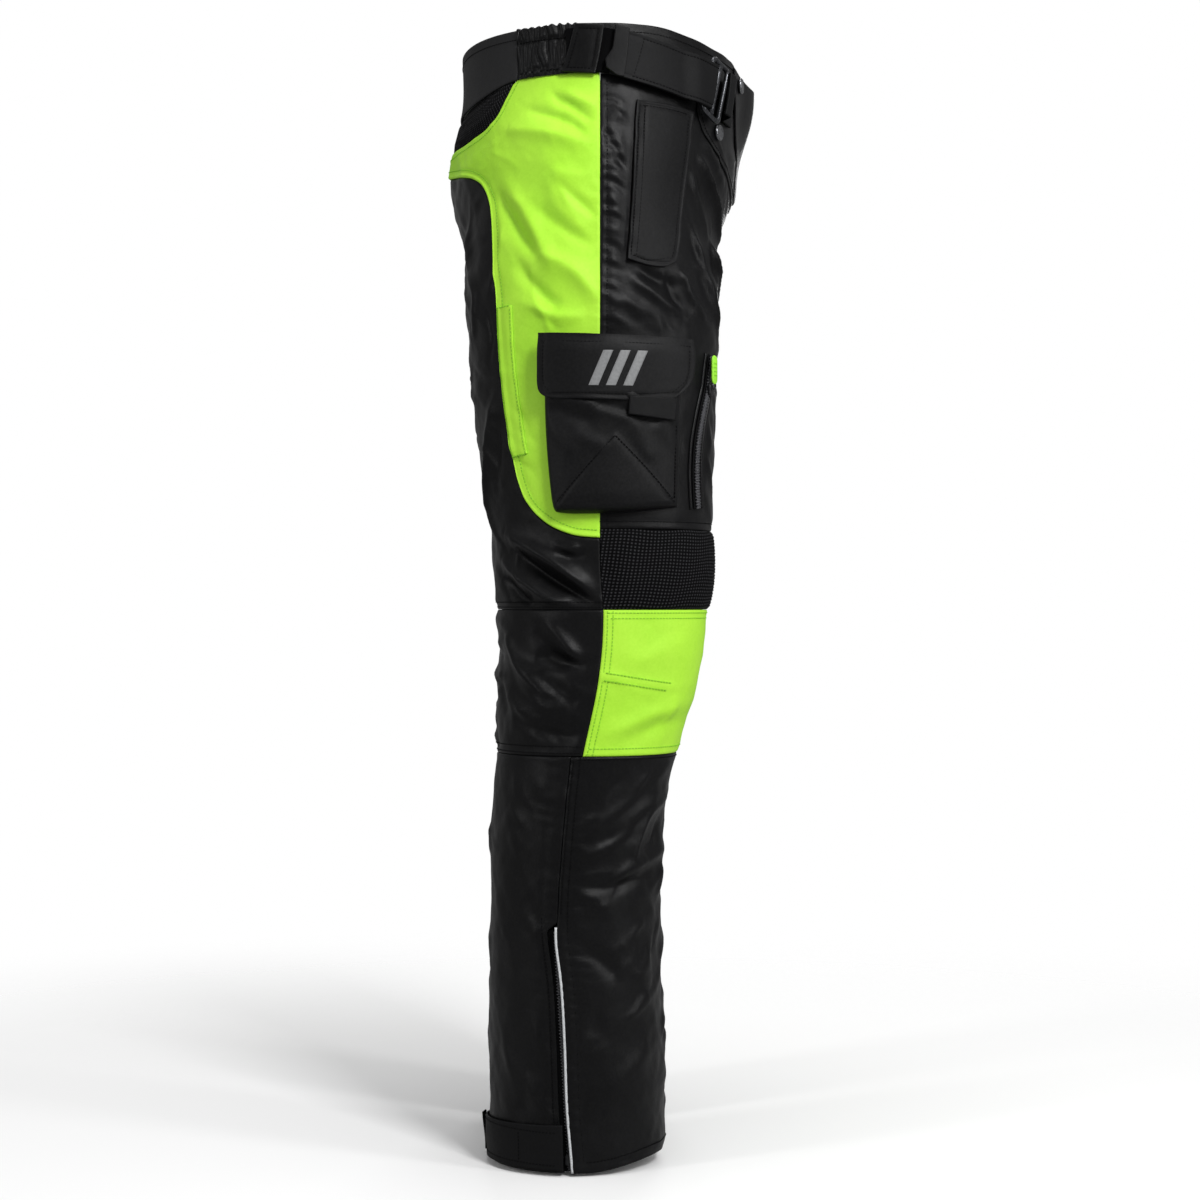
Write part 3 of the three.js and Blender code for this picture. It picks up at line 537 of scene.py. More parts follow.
class Shader:
    """A few helpers to wire a Principled material."""

    def __init__(self, name, roughness, metallic=0.0, sheen=0.0, specular=0.5):
        self.material = bpy.data.materials.new(name)
        self.material.use_nodes = True
        self.tree = self.material.node_tree
        self.nodes, self.links = self.tree.nodes, self.tree.links
        self.bsdf = self.nodes["Principled BSDF"]
        self.bsdf.inputs["Roughness"].default_value = roughness
        self.bsdf.inputs["Metallic"].default_value = metallic
        socket(self.bsdf, "Sheen Weight", "Sheen").default_value = sheen
        socket(self.bsdf, "Specular IOR Level", "Specular").default_value = specular
        self.coordinates = self.nodes.new("ShaderNodeTexCoord")

    def node(self, kind, **inputs):
        made = self.nodes.new(kind)
        for key, value in inputs.items():
            made.inputs[key.replace("_", " ")].default_value = value
        return made

    def link(self, a, b):
        self.links.new(a, b)

    def mapped(self, scale, rotation=(0, 0, 0), source="Object"):
        mapping = self.nodes.new("ShaderNodeMapping")
        mapping.inputs["Scale"].default_value = scale
        mapping.inputs["Rotation"].default_value = rotation
        self.link(self.coordinates.outputs[source], mapping.inputs["Vector"])
        return mapping.outputs["Vector"]

    def noise(self, scale, detail=4.0, source="Object", stretch=(1, 1, 1)):
        made = self.node("ShaderNodeTexNoise", Scale=scale, Detail=detail)
        self.link(self.mapped(stretch, source=source), made.inputs["Vector"])
        return made.outputs["Fac"]

    def wave(self, per_metre, direction, source="UV", distortion=0.0):
        made = self.nodes.new("ShaderNodeTexWave")
        made.bands_direction = direction
        made.inputs["Scale"].default_value = per_metre / 20.0 * math.pi * 2
        made.inputs["Distortion"].default_value = distortion
        self.link(self.mapped((1, 1, 1), source=source), made.inputs["Vector"])
        return made.outputs["Fac"]

    def maths(self, operation, a, b):
        made = self.nodes.new("ShaderNodeMath")
        made.operation = operation
        for slot, value in zip(made.inputs, (a, b)):
            if isinstance(value, (int, float)):
                slot.default_value = value
            else:
                self.link(value, slot)
        return made.outputs[0]

    def ramp(self, factor, stops):
        made = self.nodes.new("ShaderNodeValToRGB")
        while len(made.color_ramp.elements) < len(stops):
            made.color_ramp.elements.new(0.5)
        for element, (position, colour) in zip(made.color_ramp.elements, stops):
            element.position = position
            element.color = (*colour, 1)
        self.link(factor, made.inputs["Fac"])
        return made.outputs["Color"]

    def colour(self, output):
        self.link(output, self.bsdf.inputs["Base Color"])

    def roughness(self, factor, low, high):
        made = self.nodes.new("ShaderNodeMapRange")
        made.inputs["To Min"].default_value = low
        made.inputs["To Max"].default_value = high
        self.link(factor, made.inputs["Value"])
        self.link(made.outputs["Result"], self.bsdf.inputs["Roughness"])

    def bump(self, height, strength, distance):
        made = self.nodes.new("ShaderNodeBump")
        made.inputs["Strength"].default_value = strength
        made.inputs["Distance"].default_value = distance
        self.link(height, made.inputs["Height"])
        previous = self.bsdf.inputs["Normal"]
        if previous.is_linked:
            self.link(previous.links[0].from_socket, made.inputs["Normal"])
        self.link(made.outputs["Normal"], previous)


def linear(*rgb):
    return tuple((c / 255 / 12.92) if c <= 10 else ((c / 255 + 0.055) / 1.055) ** 2.4 for c in rgb)


def woven(name, dark, mid, light, roughness, sheen, thread=0.9, specular=0.5, grain=0.35):
    """Plain-woven cloth: crossing threads in bump, cloudy tone, and a slightly uneven gloss."""
    s = Shader(name, roughness, sheen=sheen, specular=specular)
    threads = 1000.0 / thread
    warp, weft = s.wave(threads, "X"), s.wave(threads, "Y")
    weave = s.maths("MULTIPLY", warp, weft)
    cloud = s.noise(9.0, 5.0)
    fine = s.noise(420.0, 3.0)
    tone = s.maths("ADD", s.maths("MULTIPLY", cloud, 0.62), s.maths("MULTIPLY", fine, grain))
    s.colour(s.ramp(tone, [(0.25, dark), (0.5, mid), (0.78, light)]))
    s.roughness(s.noise(30.0, 3.0), roughness - 0.08, roughness + 0.08)
    s.bump(weave, 0.35, 0.00018)
    s.bump(fine, 0.25, 0.00025)
    s.bump(s.noise(110.0, 3.0), 0.3, 0.0008)
    return s.material


SHELL = woven("shell_cloth", linear(3, 3, 4), linear(9, 9, 10), linear(17, 17, 18), 0.37, 0.0,
              specular=0.15, grain=0.5)
POCKET_CLOTH = woven("pocket_cloth", linear(6, 6, 7), linear(13, 13, 14), linear(23, 23, 24), 0.46, 0.0,
                     specular=0.13, grain=0.5)
GREEN = woven("bright_cloth", linear(160, 224, 48), linear(176, 234, 62), linear(190, 241, 80), 0.55, 0.0,
              0.8, specular=0.2, grain=0.28)
SMOOTH = woven("smooth_stretch", linear(30, 30, 31), linear(36, 36, 37), linear(42, 42, 43), 0.6, 0.0, 0.6,
               specular=0.12)
LINING = woven("lining", linear(5, 5, 6), linear(8, 8, 9), linear(12, 12, 13), 0.75, 0.0, specular=0.08)
STRAP = woven("strap_webbing", linear(12, 12, 13), linear(18, 18, 19), linear(25, 25, 26), 0.55, 0.0, 1.2,
              specular=0.1)
HOOK = woven("hook_tape", linear(4, 4, 5), linear(7, 7, 8), linear(11, 11, 12), 0.9, 0.0, 1.1, specular=0.05)
LABEL = woven("plain_label", linear(8, 8, 9), linear(12, 12, 13), linear(18, 18, 19), 0.45, 0.0, 0.5,
              specular=0.12)
QUILT = woven("cut_layers", linear(190, 178, 140), linear(214, 204, 166), linear(232, 224, 190), 0.8, 0.3,
              1.4)
REFLECT = woven("reflective_print", linear(100, 101, 102), linear(116, 117, 118), linear(134, 135, 136),
                0.42, 0.0, 0.7, grain=0.5)


RIB = (3.6, 3.0)


def knit(name):
    s = Shader(name, 0.8, specular=0.08)
    loops = s.noise(900.0, 3.0)
    split = s.node("ShaderNodeSeparateXYZ")
    s.link(s.coordinates.outputs["UV"], split.inputs[0])
    crowns = [s.maths("ABSOLUTE", s.maths("SINE", s.maths("MULTIPLY", split.outputs[k], math.pi / pitch),
                                          0), 0) for k, pitch in ((0, RIB[0] / 1000), (1, RIB[1] / 1000))]
    crown = s.maths("MULTIPLY", crowns[0], crowns[1])
    # Painted shade and highlight: the tone follows the loops' height, so the ramp darkens the gaps between
    # loops and lightens their crowns on the black knit.
    tone = s.maths("ADD", s.maths("MULTIPLY", crown, 0.62), s.maths("MULTIPLY", loops, 0.3))
    s.colour(s.ramp(tone, [(0.24, linear(1, 1, 2)), (0.5, linear(8, 8, 9)), (0.82, linear(58, 58, 60))]))
    s.bump(crown, 0.6, 0.0008)
    s.bump(loops, 0.4, 0.0004)
    return s.material


def plain(name, low, high, roughness, metallic=0.0, grain=300.0, bump=0.1, specular=0.5):
    s = Shader(name, roughness, metallic=metallic, specular=specular)
    factor = s.noise(grain, 4.0)
    s.colour(s.ramp(factor, [(0.35, low), (0.65, high)]))
    s.roughness(s.noise(60.0, 3.0), roughness - 0.06, roughness + 0.08)
    s.bump(factor, bump, 0.0002)
    return s.material


KNIT = knit("ribbed_knit")
THREAD = plain("black_thread", linear(2, 2, 3), linear(6, 6, 7), 0.7, grain=2000, specular=0.1)
GREEN_THREAD = plain("green_thread", linear(122, 184, 28), linear(142, 204, 42), 0.7, grain=2000)
PIPING = plain("reflective_piping", linear(176, 178, 180), linear(216, 218, 220), 0.4, grain=900)
COIL = plain("zip_coil", linear(62, 62, 65), linear(104, 104, 108), 0.4, grain=1500, specular=0.4)
METAL = plain("dark_metal", linear(54, 55, 58), linear(84, 85, 88), 0.3, metallic=0.85, grain=500)
SNAP_METAL = plain("snap_enamel", linear(96, 97, 100), linear(128, 129, 132), 0.24, metallic=0.9, grain=500)
SLIDER_METAL = plain("slider_enamel", linear(18, 18, 20), linear(30, 30, 32), 0.35, grain=500, specular=0.3)
GREEN_RUBBER = plain("green_pull", linear(140, 216, 40), linear(160, 232, 60), 0.5, grain=700)
FOAM = plain("pad_foam", linear(58, 70, 84), linear(76, 90, 104), 0.85, grain=1400, bump=0.6)


# ---- mesh making ----


def emit(name, points, faces, material, mirrored=False, uv=None, shade=True):
    points = np.array(points, float) / 1000.0
    if mirrored:
        points[:, 1] *= -1
        faces = [f[::-1] for f in faces]
    mesh = bpy.data.meshes.new(name)
    mesh.from_pydata(points.tolist(), [], faces)
    if uv is not None:
        layer = mesh.uv_layers.new(name="cloth")
        loops = np.empty(len(mesh.loops), dtype=np.int32)
        mesh.loops.foreach_get("vertex_index", loops)
        layer.data.foreach_set("uv", (np.asarray(uv)[loops] / 1000.0).astype(np.float32).ravel())
    mesh.materials.append(material)
    mesh.polygons.foreach_set("use_smooth", [shade] * len(mesh.polygons))
    mesh.update()
    piece = bpy.data.objects.new(name, mesh)
    bpy.context.scene.collection.objects.link(piece)
    return piece


def spaced(size, step, edge=(0.5, 1.2, 2.2, 3.4, 4.4, 5.6)):
    """Shares from 0 to 1 along a length, closer together near both ends."""
    if size < 2.5 * edge[-1]:
        return np.linspace(0, 1, max(int(size / step) + 1, 4))
    count = max(int(round((size - 2 * edge[-1]) / step)), 2)
    middle = np.linspace(edge[-1], size - edge[-1], count + 1)
    ends = np.array([0, *edge[:-1]])
    return np.concatenate([ends, middle, size - ends[::-1]]) / size


def coons(edges, s, t):
    low, high = edges["low"](s), edges["high"](s)
    start, end = edges["start"](t), edges["end"](t)
    S, T = s[None, :, None], t[:, None, None]
    ruled = mix(low[None], high[None], T) + mix(start[:, None], end[:, None], S)
    return ruled - mix(mix(low[0], low[-1], S), mix(high[0], high[-1], S), T)


def grid_faces(rows, columns, base=0):
    i, j = np.meshgrid(np.arange(rows - 1), np.arange(columns - 1), indexing="ij")
    a = base + i * columns + j
    return np.stack([a, a + 1, a + columns + 1, a + columns], -1).reshape(-1, 4)


def shell_mesh(outer, inner):
    """Points and faces of a closed sheet between two grids of points."""
    rows, columns = outer.shape[:2]
    count = rows * columns
    top, bottom = grid_faces(rows, columns), grid_faces(rows, columns, count)[:, ::-1]
    rim = np.concatenate([
        np.arange(columns - 1), columns - 1 + columns * np.arange(rows - 1),
        rows * columns - 1 - np.arange(columns - 1), (rows - 1) * columns - columns * np.arange(rows - 1),
    ])
    following = np.roll(rim, -1)
    walls = np.stack([rim, rim + count, following + count, following], -1)
    faces = np.concatenate([top, bottom, walls])
    points = np.concatenate([outer.reshape(-1, 3), inner.reshape(-1, 3)])
    a, b, c = points[faces[:, 0]], points[faces[:, 1]], points[faces[:, 2]]
    d = points[faces[:, 3]]
    volume = np.einsum("ij,ij->", a, np.cross(b, c)) + np.einsum("ij,ij->", a, np.cross(c, d))
    if volume < 0:
        faces = faces[:, ::-1]
    return points, faces.tolist()


class Sheet:
    """A patch of cloth: its grid of (u, z), the distance of each point from every edge, and its solid."""

    def __init__(self, edges, step=4.0, gap=0.15):
        width = max(length(edges["low"]), length(edges["high"]), 1)
        height = max(length(edges["start"]), length(edges["end"]), 1)
        self.edges = edges
        self.s, self.t = spaced(width, step), spaced(height, step)
        self.uz = coons(edges, self.s, self.t)
        self.u, self.z = self.uz[..., 0], self.uz[..., 1]
        flat = skin(self.u, self.z)
        across = np.linalg.norm(np.diff(flat, axis=1), axis=2)
        upward = np.linalg.norm(np.diff(flat, axis=0), axis=2)
        self.from_start = np.concatenate([np.zeros((len(self.t), 1)), np.cumsum(across, 1)], 1)
        self.from_low = np.concatenate([np.zeros((1, len(self.s))), np.cumsum(upward, 0)], 0)
        self.from_end = self.from_start[:, -1:] - self.from_start
        self.from_high = self.from_low[-1:] - self.from_low
        self.gap = gap

    def edge(self, *names):
        return np.minimum.reduce([getattr(self, f"from_{n}") for n in names])

    def rim(self):
        return self.edge("low", "high", "start", "end")

    def inset(self):
        """The grid, with its border drawn in by the seam gap."""
        uz = self.uz.copy()
        for axis in (0, 1):
            first = (slice(None),) * axis
            for end, following in ((0, 1), (-1, -2)):
                a, b = first + (end,), first + (following,)
                step = uz[b] - uz[a]
                size = np.hypot(step[..., 0] * per_degree(uz[a][..., 0], uz[a][..., 1]), step[..., 1])
                uz[a] = uz[a] + step * np.clip(self.gap / np.maximum(size, 1e-6), 0, 0.6)[..., None]
        return uz

    def solid(self, outer, thickness):
        uz = self.inset()
        u, z = uz[..., 0], uz[..., 1]
        outer = np.broadcast_to(outer, u.shape)
        points, faces = shell_mesh(skin(u, z, outer), skin(u, z, outer - thickness))
        uv = np.stack([self.from_start, z], -1).reshape(-1, 2)
        return points, faces, np.concatenate([uv, uv])


def meet_in_middle(data, sheet, column, top=2000.0, gap=0.1):
    """Closes an edge of a right-hand piece on the middle plane, from the crotch up to this height."""
    points, faces, uv = data
    grid = points.reshape((2,) + sheet.u.shape + (3,))
    joined_here = sheet.z > CROTCH - 4
    grid[..., 1] = np.where(joined_here, np.minimum(grid[..., 1], -gap), grid[..., 1])
    closing = joined_here[:, column] & (sheet.z[:, column] < top)
    grid[:, closing, column, 1] = -gap
    return grid.reshape(-1, 3), faces, uv


def rolled(distance, depth=1.0, reach=2.2):
    """How far a sewn edge sinks into its seam."""
    return -depth * np.clip(1 - distance / reach, 0, 1) ** 2


def rounded(distance, radius):
    """The fall of a free edge with a rounded rim."""
    d = np.clip(1 - distance / radius, 0, 1)
    return -radius * (1 - np.sqrt(np.clip(1 - d * d, 0, 1)))


def normal_at(u, z, offset):
    du, dz = 0.4, 0.8
    a = surface(u + du, z, offset) - surface(u - du, z, offset)
    b = surface(u, z + dz, offset) - surface(u, z - dz, offset)
    n = np.cross(a, b)
    n /= np.linalg.norm(n, axis=-1, keepdims=True)
    flat = skin(u, z, 1.0) - skin(u, z)
    return n * np.sign(np.sum(n * flat, -1, keepdims=True))


def surface(u, z, offset):
    """A point over the draped cloth: the offset is a number or a function of (u, z)."""
    if callable(offset):
        return skin(u, z, offset(u, z))
    return skin(u, z, offset + drape(u, z))


BOX_FACES = np.array([[0, 1, 2, 3], [4, 7, 6, 5], [0, 4, 5, 1], [1, 5, 6, 2], [2, 6, 7, 3], [3, 7, 4, 0]])


def bars(centres, along, normal, size):
    """One small bar with a narrower top at each centre: size is (length, width, height)."""
    across = np.cross(normal, along)
    along, across, normal = (v / np.linalg.norm(v, axis=-1, keepdims=True) for v in (along, across, normal))
    half = np.array(size) / 2
    shape = []
    for long, wide, rise in ((1, 1, -1), (0.8, 0.6, 1)):
        for a, b in ((-1, -1), (1, -1), (1, 1), (-1, 1)):
            shape.append(centres + along * a * half[0] * long + across * b * half[1] * wide
                         + normal * half[2] * rise)
    points = np.stack(shape, 1).reshape(-1, 3)
    faces = (BOX_FACES[None, :, ::-1] + 8 * np.arange(len(centres))[:, None, None]).reshape(-1, 4)
    return points, faces


STITCH = (2.4, 1.0, 0.7)


class Stitching:
    """Collects rows of stitches that share a thread and a body."""

    def __init__(self):
        self.points, self.faces, self.count = [], [], 0

    def row(self, curve, offset=0.0, a=0.0, b=1.0, pitch=3.4):
        fine = curve(np.linspace(a, b, 400))
        p = surface(fine[:, 0], fine[:, 1], offset)
        steps = np.concatenate([[0], np.cumsum(np.linalg.norm(np.diff(p, axis=0), axis=1))])
        total = steps[-1]
        if total < pitch * 2:
            return
        middle = np.arange(pitch / 2, total - pitch / 2, pitch)
        share = np.interp(middle, steps, np.arange(400))
        k = np.clip(share.astype(int), 0, 398)
        w = (share - k)[:, None]
        uz = fine[k] * (1 - w) + fine[k + 1] * w
        centre = surface(uz[:, 0], uz[:, 1], offset)
        normal = normal_at(uz[:, 0], uz[:, 1], offset)
        along = p[k + 1] - p[k]
        along -= normal * np.sum(along * normal, -1, keepdims=True)
        points, faces = bars(centre + normal * 0.12, along, normal, STITCH)
        self.points.append(points)
        self.faces.append(faces + self.count)
        self.count += len(points)

    def data(self):
        return np.concatenate(self.points), np.concatenate(self.faces).tolist()


def parallel(curve, distance):
    """A curve beside another one, a fixed distance to its left as t grows."""
    def moved(t):
        t = np.asarray(t, float)
        p, a, b = curve(t), curve(np.maximum(t - 0.004, 0)), curve(np.minimum(t + 0.004, 1))
        scale = per_degree(p[..., 0], p[..., 1])
        du, dz = (b[..., 0] - a[..., 0]) * scale, b[..., 1] - a[..., 1]
        size = np.maximum(np.hypot(du, dz), 1e-9)
        return np.stack([p[..., 0] - dz / size * distance / scale, p[..., 1] + du / size * distance], -1)
    return moved


# ---- putting pieces on bodies ----
# Heights in metres between which the cloth would bend at the hip and at the knee, and the hip's outward lean;
# no piece is bent or leaned with them.
HIP_BEND, HIP_LEAN = (0.79, 0.704), 0.050


def outwards(s):
    return -1 if s == "right" else 1


def frame_joint(name):
    return next(j for j in frame["record"]["behaviour"]["joints"] if j["name"] == name)


def hip_blend(piece, s):
    HIP_LEAN * outwards(s)
    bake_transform(piece)


def knee_blend(piece, s):
    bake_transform(piece)


def on(body):
    def place(piece, s):
        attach(piece, body.format(s))
    return place


def both(name, data, material, place, nodes=(), slot=None, uv=None, shade=True):
    """The same piece on the right and, mirrored, on the left."""
    points, faces = data[:2]
    uv = data[2] if len(data) > 2 else uv
    made = []
    for s in SIDES:
        piece = emit(f"{name}_{s}_look", points, faces, material, s == "left", uv, shade)
        place(piece, s)
        if nodes:
            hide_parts(*[f"{n}_{s}" for n in nodes])
        made.append(piece)
    return made


def single(name, data, material, body, node=None, shade=True):
    """A piece that there is only one of: body is a name, or a function that places the piece."""
    points, faces = data[:2]
    piece = emit(f"{name}_look", points, faces, material, uv=data[2] if len(data) > 2 else None, shade=shade)
    if callable(body):
        body(piece)
    else:
        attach(piece, body)
    if node:
        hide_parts(node)


def joined(parts):
    """Several (points, faces) as one."""
    points, faces, base = [], [], 0
    for p, f in parts:
        points.append(np.asarray(p))
        faces += [[i + base for i in face] for face in f]
        base += len(p)
    return np.concatenate(points), faces


def tube(path, radius, sides=8, flatten=1.0, closed=False):
    """A round cord along 3D points."""
    p = np.asarray(path, float)
    count = len(p)
    ahead = np.roll(p, -1, 0) - np.roll(p, 1, 0)
    if not closed:
        ahead[0], ahead[-1] = p[1] - p[0], p[-1] - p[-2]
    ahead /= np.linalg.norm(ahead, axis=1, keepdims=True)
    normal = np.cross(ahead[0], [0.3, 0.2, 0.9])
    normal /= np.linalg.norm(normal)
    rings = []
    for k in range(count):
        normal = normal - ahead[k] * normal.dot(ahead[k])
        normal /= np.linalg.norm(normal)
        other = np.cross(ahead[k], normal)
        angle = np.linspace(0, 2 * math.pi, sides, endpoint=False)[:, None]
        rings.append(p[k] + radius * (np.cos(angle) * normal + np.sin(angle) * other * flatten))
    points = np.concatenate(rings)
    faces = []
    for k in range(count if closed else count - 1):
        a, b = k * sides, ((k + 1) % count) * sides
        faces += [[a + i, a + (i + 1) % sides, b + (i + 1) % sides, b + i] for i in range(sides)]
    if not closed:
        faces += [list(range(sides))[::-1], [(count - 1) * sides + i for i in range(sides)]]
    return points, faces


def placed(points, at, offset, twist=0.0):
    """Moves flat points (x along, y up, z out) onto the skin at (u, z)."""
    u, z = at
    nx, ny = outward(u, z)
    normal = np.array([nx, -ny, 0.0])
    up = np.array([0, 0, 1.0])
    along = np.cross(up, normal)
    c, s = math.cos(math.radians(twist)), math.sin(math.radians(twist))
    p = np.asarray(points, float)
    x, y = p[:, 0] * c - p[:, 1] * s, p[:, 0] * s + p[:, 1] * c
    origin = skin(u, z, offset)
    return origin + x[:, None] * along + y[:, None] * up + p[:, 2:3] * normal


def rounded_loop(width, height, radius, count=6):
    """Points round a rectangle with round corners, anticlockwise."""
    out = []
    for cx, cy, a in ((1, -1, -90), (1, 1, 0), (-1, 1, 90), (-1, -1, 180)):
        for k in range(count + 1):
            angle = math.radians(a + 90 * k / count)
            out.append((cx * (width / 2 - radius) + radius * math.cos(angle),
                        cy * (height / 2 - radius) + radius * math.sin(angle)))
    return np.array(out)


def slab(outline, depth, bevel=0.5, crown=0.0):
    """A plate with softened edges from an outline round the origin."""
    outline = np.asarray(outline, float)
    centre = outline.mean(0)
    rings = []
    n = len(outline)
    for inset, height in ((bevel, 0), (0, bevel), (0, depth - bevel), (bevel * 0.4, depth - bevel * 0.35),
                          (bevel * 1.2, depth)):
        size = np.linalg.norm(outline - centre, axis=1, keepdims=True)
        ring = centre + (outline - centre) * (1 - inset / size)
        rings.append(np.column_stack([ring, np.full(n, height)]))
    points = np.concatenate(rings + [[[centre[0], centre[1], 0], [centre[0], centre[1], depth + crown]]])
    faces = []
    for r in range(len(rings) - 1):
        faces += [[r * n + i, r * n + (i + 1) % n, (r + 1) * n + (i + 1) % n,
                   (r + 1) * n + i] for i in range(n)]
    bottom, top, last = len(points) - 2, len(points) - 1, (len(rings) - 1) * n
    faces += [[bottom, (i + 1) % n, i] for i in range(n)]
    faces += [[top, last + i, last + (i + 1) % n] for i in range(n)]
    return points, faces


# ---- seam lines ----
ZIP_SLOT = 10.0
TUCK = 3.0
OUTSEAM_KNEE = [(-16, 383), (-9, 415), (-2, 450), (2, 485), (3, 518)]
OUTSEAM_SHIN = [(-23, 0), (-28, 60), (-30, 115), (-33, 170), (-39, 226), (-35, 300), (-27, 383)]
GREEN_BELOW = np.concatenate([at_x(*np.array([
    (0, 584), (-26, 587), (-51, 599), (-69, 620), (-80, 654), (-87, 693), (-93, 749), (-96, 806),
    (-100, 862), (-103, 898), (-110, 916), (-120, 926), (-132, 932)], float).T), [(222, 940), (240, 945)]])
GREEN_ABOVE = np.concatenate([at_x(*np.array([
    (0, 1016), (-10, 1016), (-20, 1016), (-30, 1016), (-40, 1016), (-50, 1016), (-60, 1016), (-70, 1016),
    (-78, 1016), (-87, 999), (-96, 982), (-110, 970), (-130, 964)], float).T), [(222, 963), (240, 963)]])
green_below, green_above = through(GREEN_BELOW), through(GREEN_ABOVE)
outseam_low = side([(3, 518), (1, 550), (0, 584)])
outseam_knee = side(OUTSEAM_KNEE)


def beside_outseam(shift):
    """A line beside the lower leg's outer seam: shift, to the front, is a number or a function of z."""
    places, heights = np.array(OUTSEAM_SHIN, float).T

    def curve(t):
        z = mix(HEM, KNEE_LOW, np.asarray(t, float))
        return at_x(hermite(heights, places, z) + (shift(z) if callable(shift) else shift), z)

    return curve


FLY_OPEN, FLY_LOW = 6.0, 896.0
front_top = at_front(FLY_OPEN, WAIST_LOW - FRONT_DIP)


def fly_gap(z):
    """Half the fly's opening: the front panels part under the flap."""
    return FLY_OPEN * smooth(z, 924, 938)


def front_high(t):
    u = mix(front_top[0], at_x(0, WAIST_LOW)[0], np.asarray(t, float))
    return np.stack([u, band_low(u) + TUCK], -1)


# Stitched rows pull the cloth in a little.
for groove in (upright(6.5, STRETCH_TOP, WAIST_LOW - 6),
               line((INSEAM, STRETCH_TOP + 7), at_x(0, STRETCH_TOP + 7)),
               line(at_x(2, KNEE_HIGH + 5), (REAR_INSEAM, KNEE_HIGH + 5)),
               line(at_x(-16, KNEE_LOW + 7), (REAR_INSEAM, KNEE_LOW + 7)), beside_outseam(9.0),
               beside_outseam(-ZIP_SLOT - 5.0), line((INSEAM, 10), at_x(-22, 10)),
               line(at_x(-37, 10), (REAR_INSEAM, 10)), parallel(green_below, 7.0),):
    press(DRAPE, groove, -0.9, 2.4)

# ---- leg panels ----


def tucked(distance):
    """How far a panel's top sinks to pass under the waistband."""
    return rolled(distance, 4.0, 6.5)


front_edges = dict(low=line((INSEAM, STRETCH_TOP), at_x(0, STRETCH_TOP)), high=front_high,
                   start=inner_edge(at_front, INSEAM, STRETCH_TOP, front_top[1] + TUCK, fly_gap),
                   end=upright(0, STRETCH_TOP, WAIST_LOW + TUCK))
sheet = Sheet(front_edges, 2.6)
front_off = (drape(sheet.u, sheet.z) + rolled(sheet.edge("start", "low")) + tucked(sheet.from_high)
             + rolled(sheet.from_end, 0.7, 2.0) + pucker(sheet.u, sheet.z, 6.0, size=0.35)
             + prow(sheet.u, sheet.z))
both("front_panel", meet_in_middle(sheet.solid(front_off, CLOTH), sheet, 0, 924), SHELL, hip_blend,
     ["front_panel"], "shell")

side_edges = dict(low=green_below, high=green_above, start=upright(0, GREEN_LOW, WAIST_LOW + TUCK),
                  end=line((240, 945), (240, 963)))
sheet = Sheet(side_edges, 2.8)
under_band = smooth(sheet.z, 1009, 1013)
side_off = (drape(sheet.u, sheet.z) + 0.5 + rolled(sheet.from_start, 1.0, 2.6)
            + mix(rolled(sheet.from_high, 1.0, 2.6), tucked(sheet.from_high), under_band))
side_off += 0.9 * np.exp(-((sheet.from_low - 2.0) / 1.8) ** 2) + rolled(sheet.from_low, 1.0, 0.8)
side_off += pucker(sheet.u, sheet.z, -2.0, 7, 11, 0.35)
both("side_panel", sheet.solid(side_off, CLOTH), GREEN, hip_blend, ["side_panel"], "bright_panel")

seat_top = through([(u + (0.3 if i < 13 else 0), z) for i, (u, z) in enumerate(GREEN_BELOW)])
seat_edges = dict(low=line(at_x(3, KNEE_HIGH), (REAR_INSEAM, KNEE_HIGH)), high=seat_top, start=outseam_low,
                  end=inner_edge(at_back, REAR_INSEAM, KNEE_HIGH, 945))
sheet = Sheet(seat_edges, 2.8)
seat_off = drape(sheet.u, sheet.z) + rolled(sheet.edge("start", "low", "end")) + rolled(sheet.from_high,
                                                                                        1.3, 3.0)
both("seat_panel", meet_in_middle(sheet.solid(seat_off, CLOTH), sheet, -1), SHELL, hip_blend,
     ["seat_panel"], "shell")

stretch_edges = dict(low=line((INSEAM, KNEE_HIGH), at_x(3, KNEE_HIGH)),
                     high=line((INSEAM, STRETCH_TOP), at_x(0, STRETCH_TOP)),
                     start=line((INSEAM, KNEE_HIGH), (INSEAM, STRETCH_TOP)),
                     end=side([(3, KNEE_HIGH), (1, 550), (0, STRETCH_TOP)]))
sheet = Sheet(stretch_edges, 1.15)
row = sheet.from_low + 1.3 * np.sin(sheet.from_start / 31.0) + 0.6 * np.sin(sheet.from_start / 9.0
                                                                            + sheet.from_low / 14.0)
ribs = (np.abs(np.sin(math.pi * row / RIB[1]))
        * (0.35 + 0.65 * np.abs(np.sin(math.pi * sheet.from_start / RIB[0]))))
inside = smooth(sheet.edge("low", "high"), 1.0, 4.0) * smooth(sheet.from_end, 9, 11)
bulge = np.sin(math.pi * np.clip(sheet.t, 0, 1))[:, None] ** 0.7
stretch_off = 0.2 + 4.2 * bulge * smooth(sheet.from_end, 0,
                                         26) + 1.1 * ribs * inside + rolled(sheet.edge("low", "high"))
points, faces, _ = sheet.solid(stretch_off, 2.2)
rib_uv = np.tile(np.stack([sheet.from_start, row], -1).reshape(-1, 2), (2, 1))
both("knee_stretch", (points, faces, rib_uv), KNIT, knee_blend, ["knee_stretch_panel"], "stretch_knit")

knee_edges = dict(low=line((INSEAM, KNEE_LOW), at_x(-16, KNEE_LOW)),
                  high=line((INSEAM, KNEE_HIGH), at_x(3, KNEE_HIGH)),
                  start=line((INSEAM, KNEE_LOW), (INSEAM, KNEE_HIGH)), end=outseam_knee)
sheet = Sheet(knee_edges, 2.8)
dart = through(at_x(np.array([-4, 20, 48, 66.0]), np.array([458, 454, 449, 446.0])))
dart_line = dart(np.linspace(0, 1, 40))


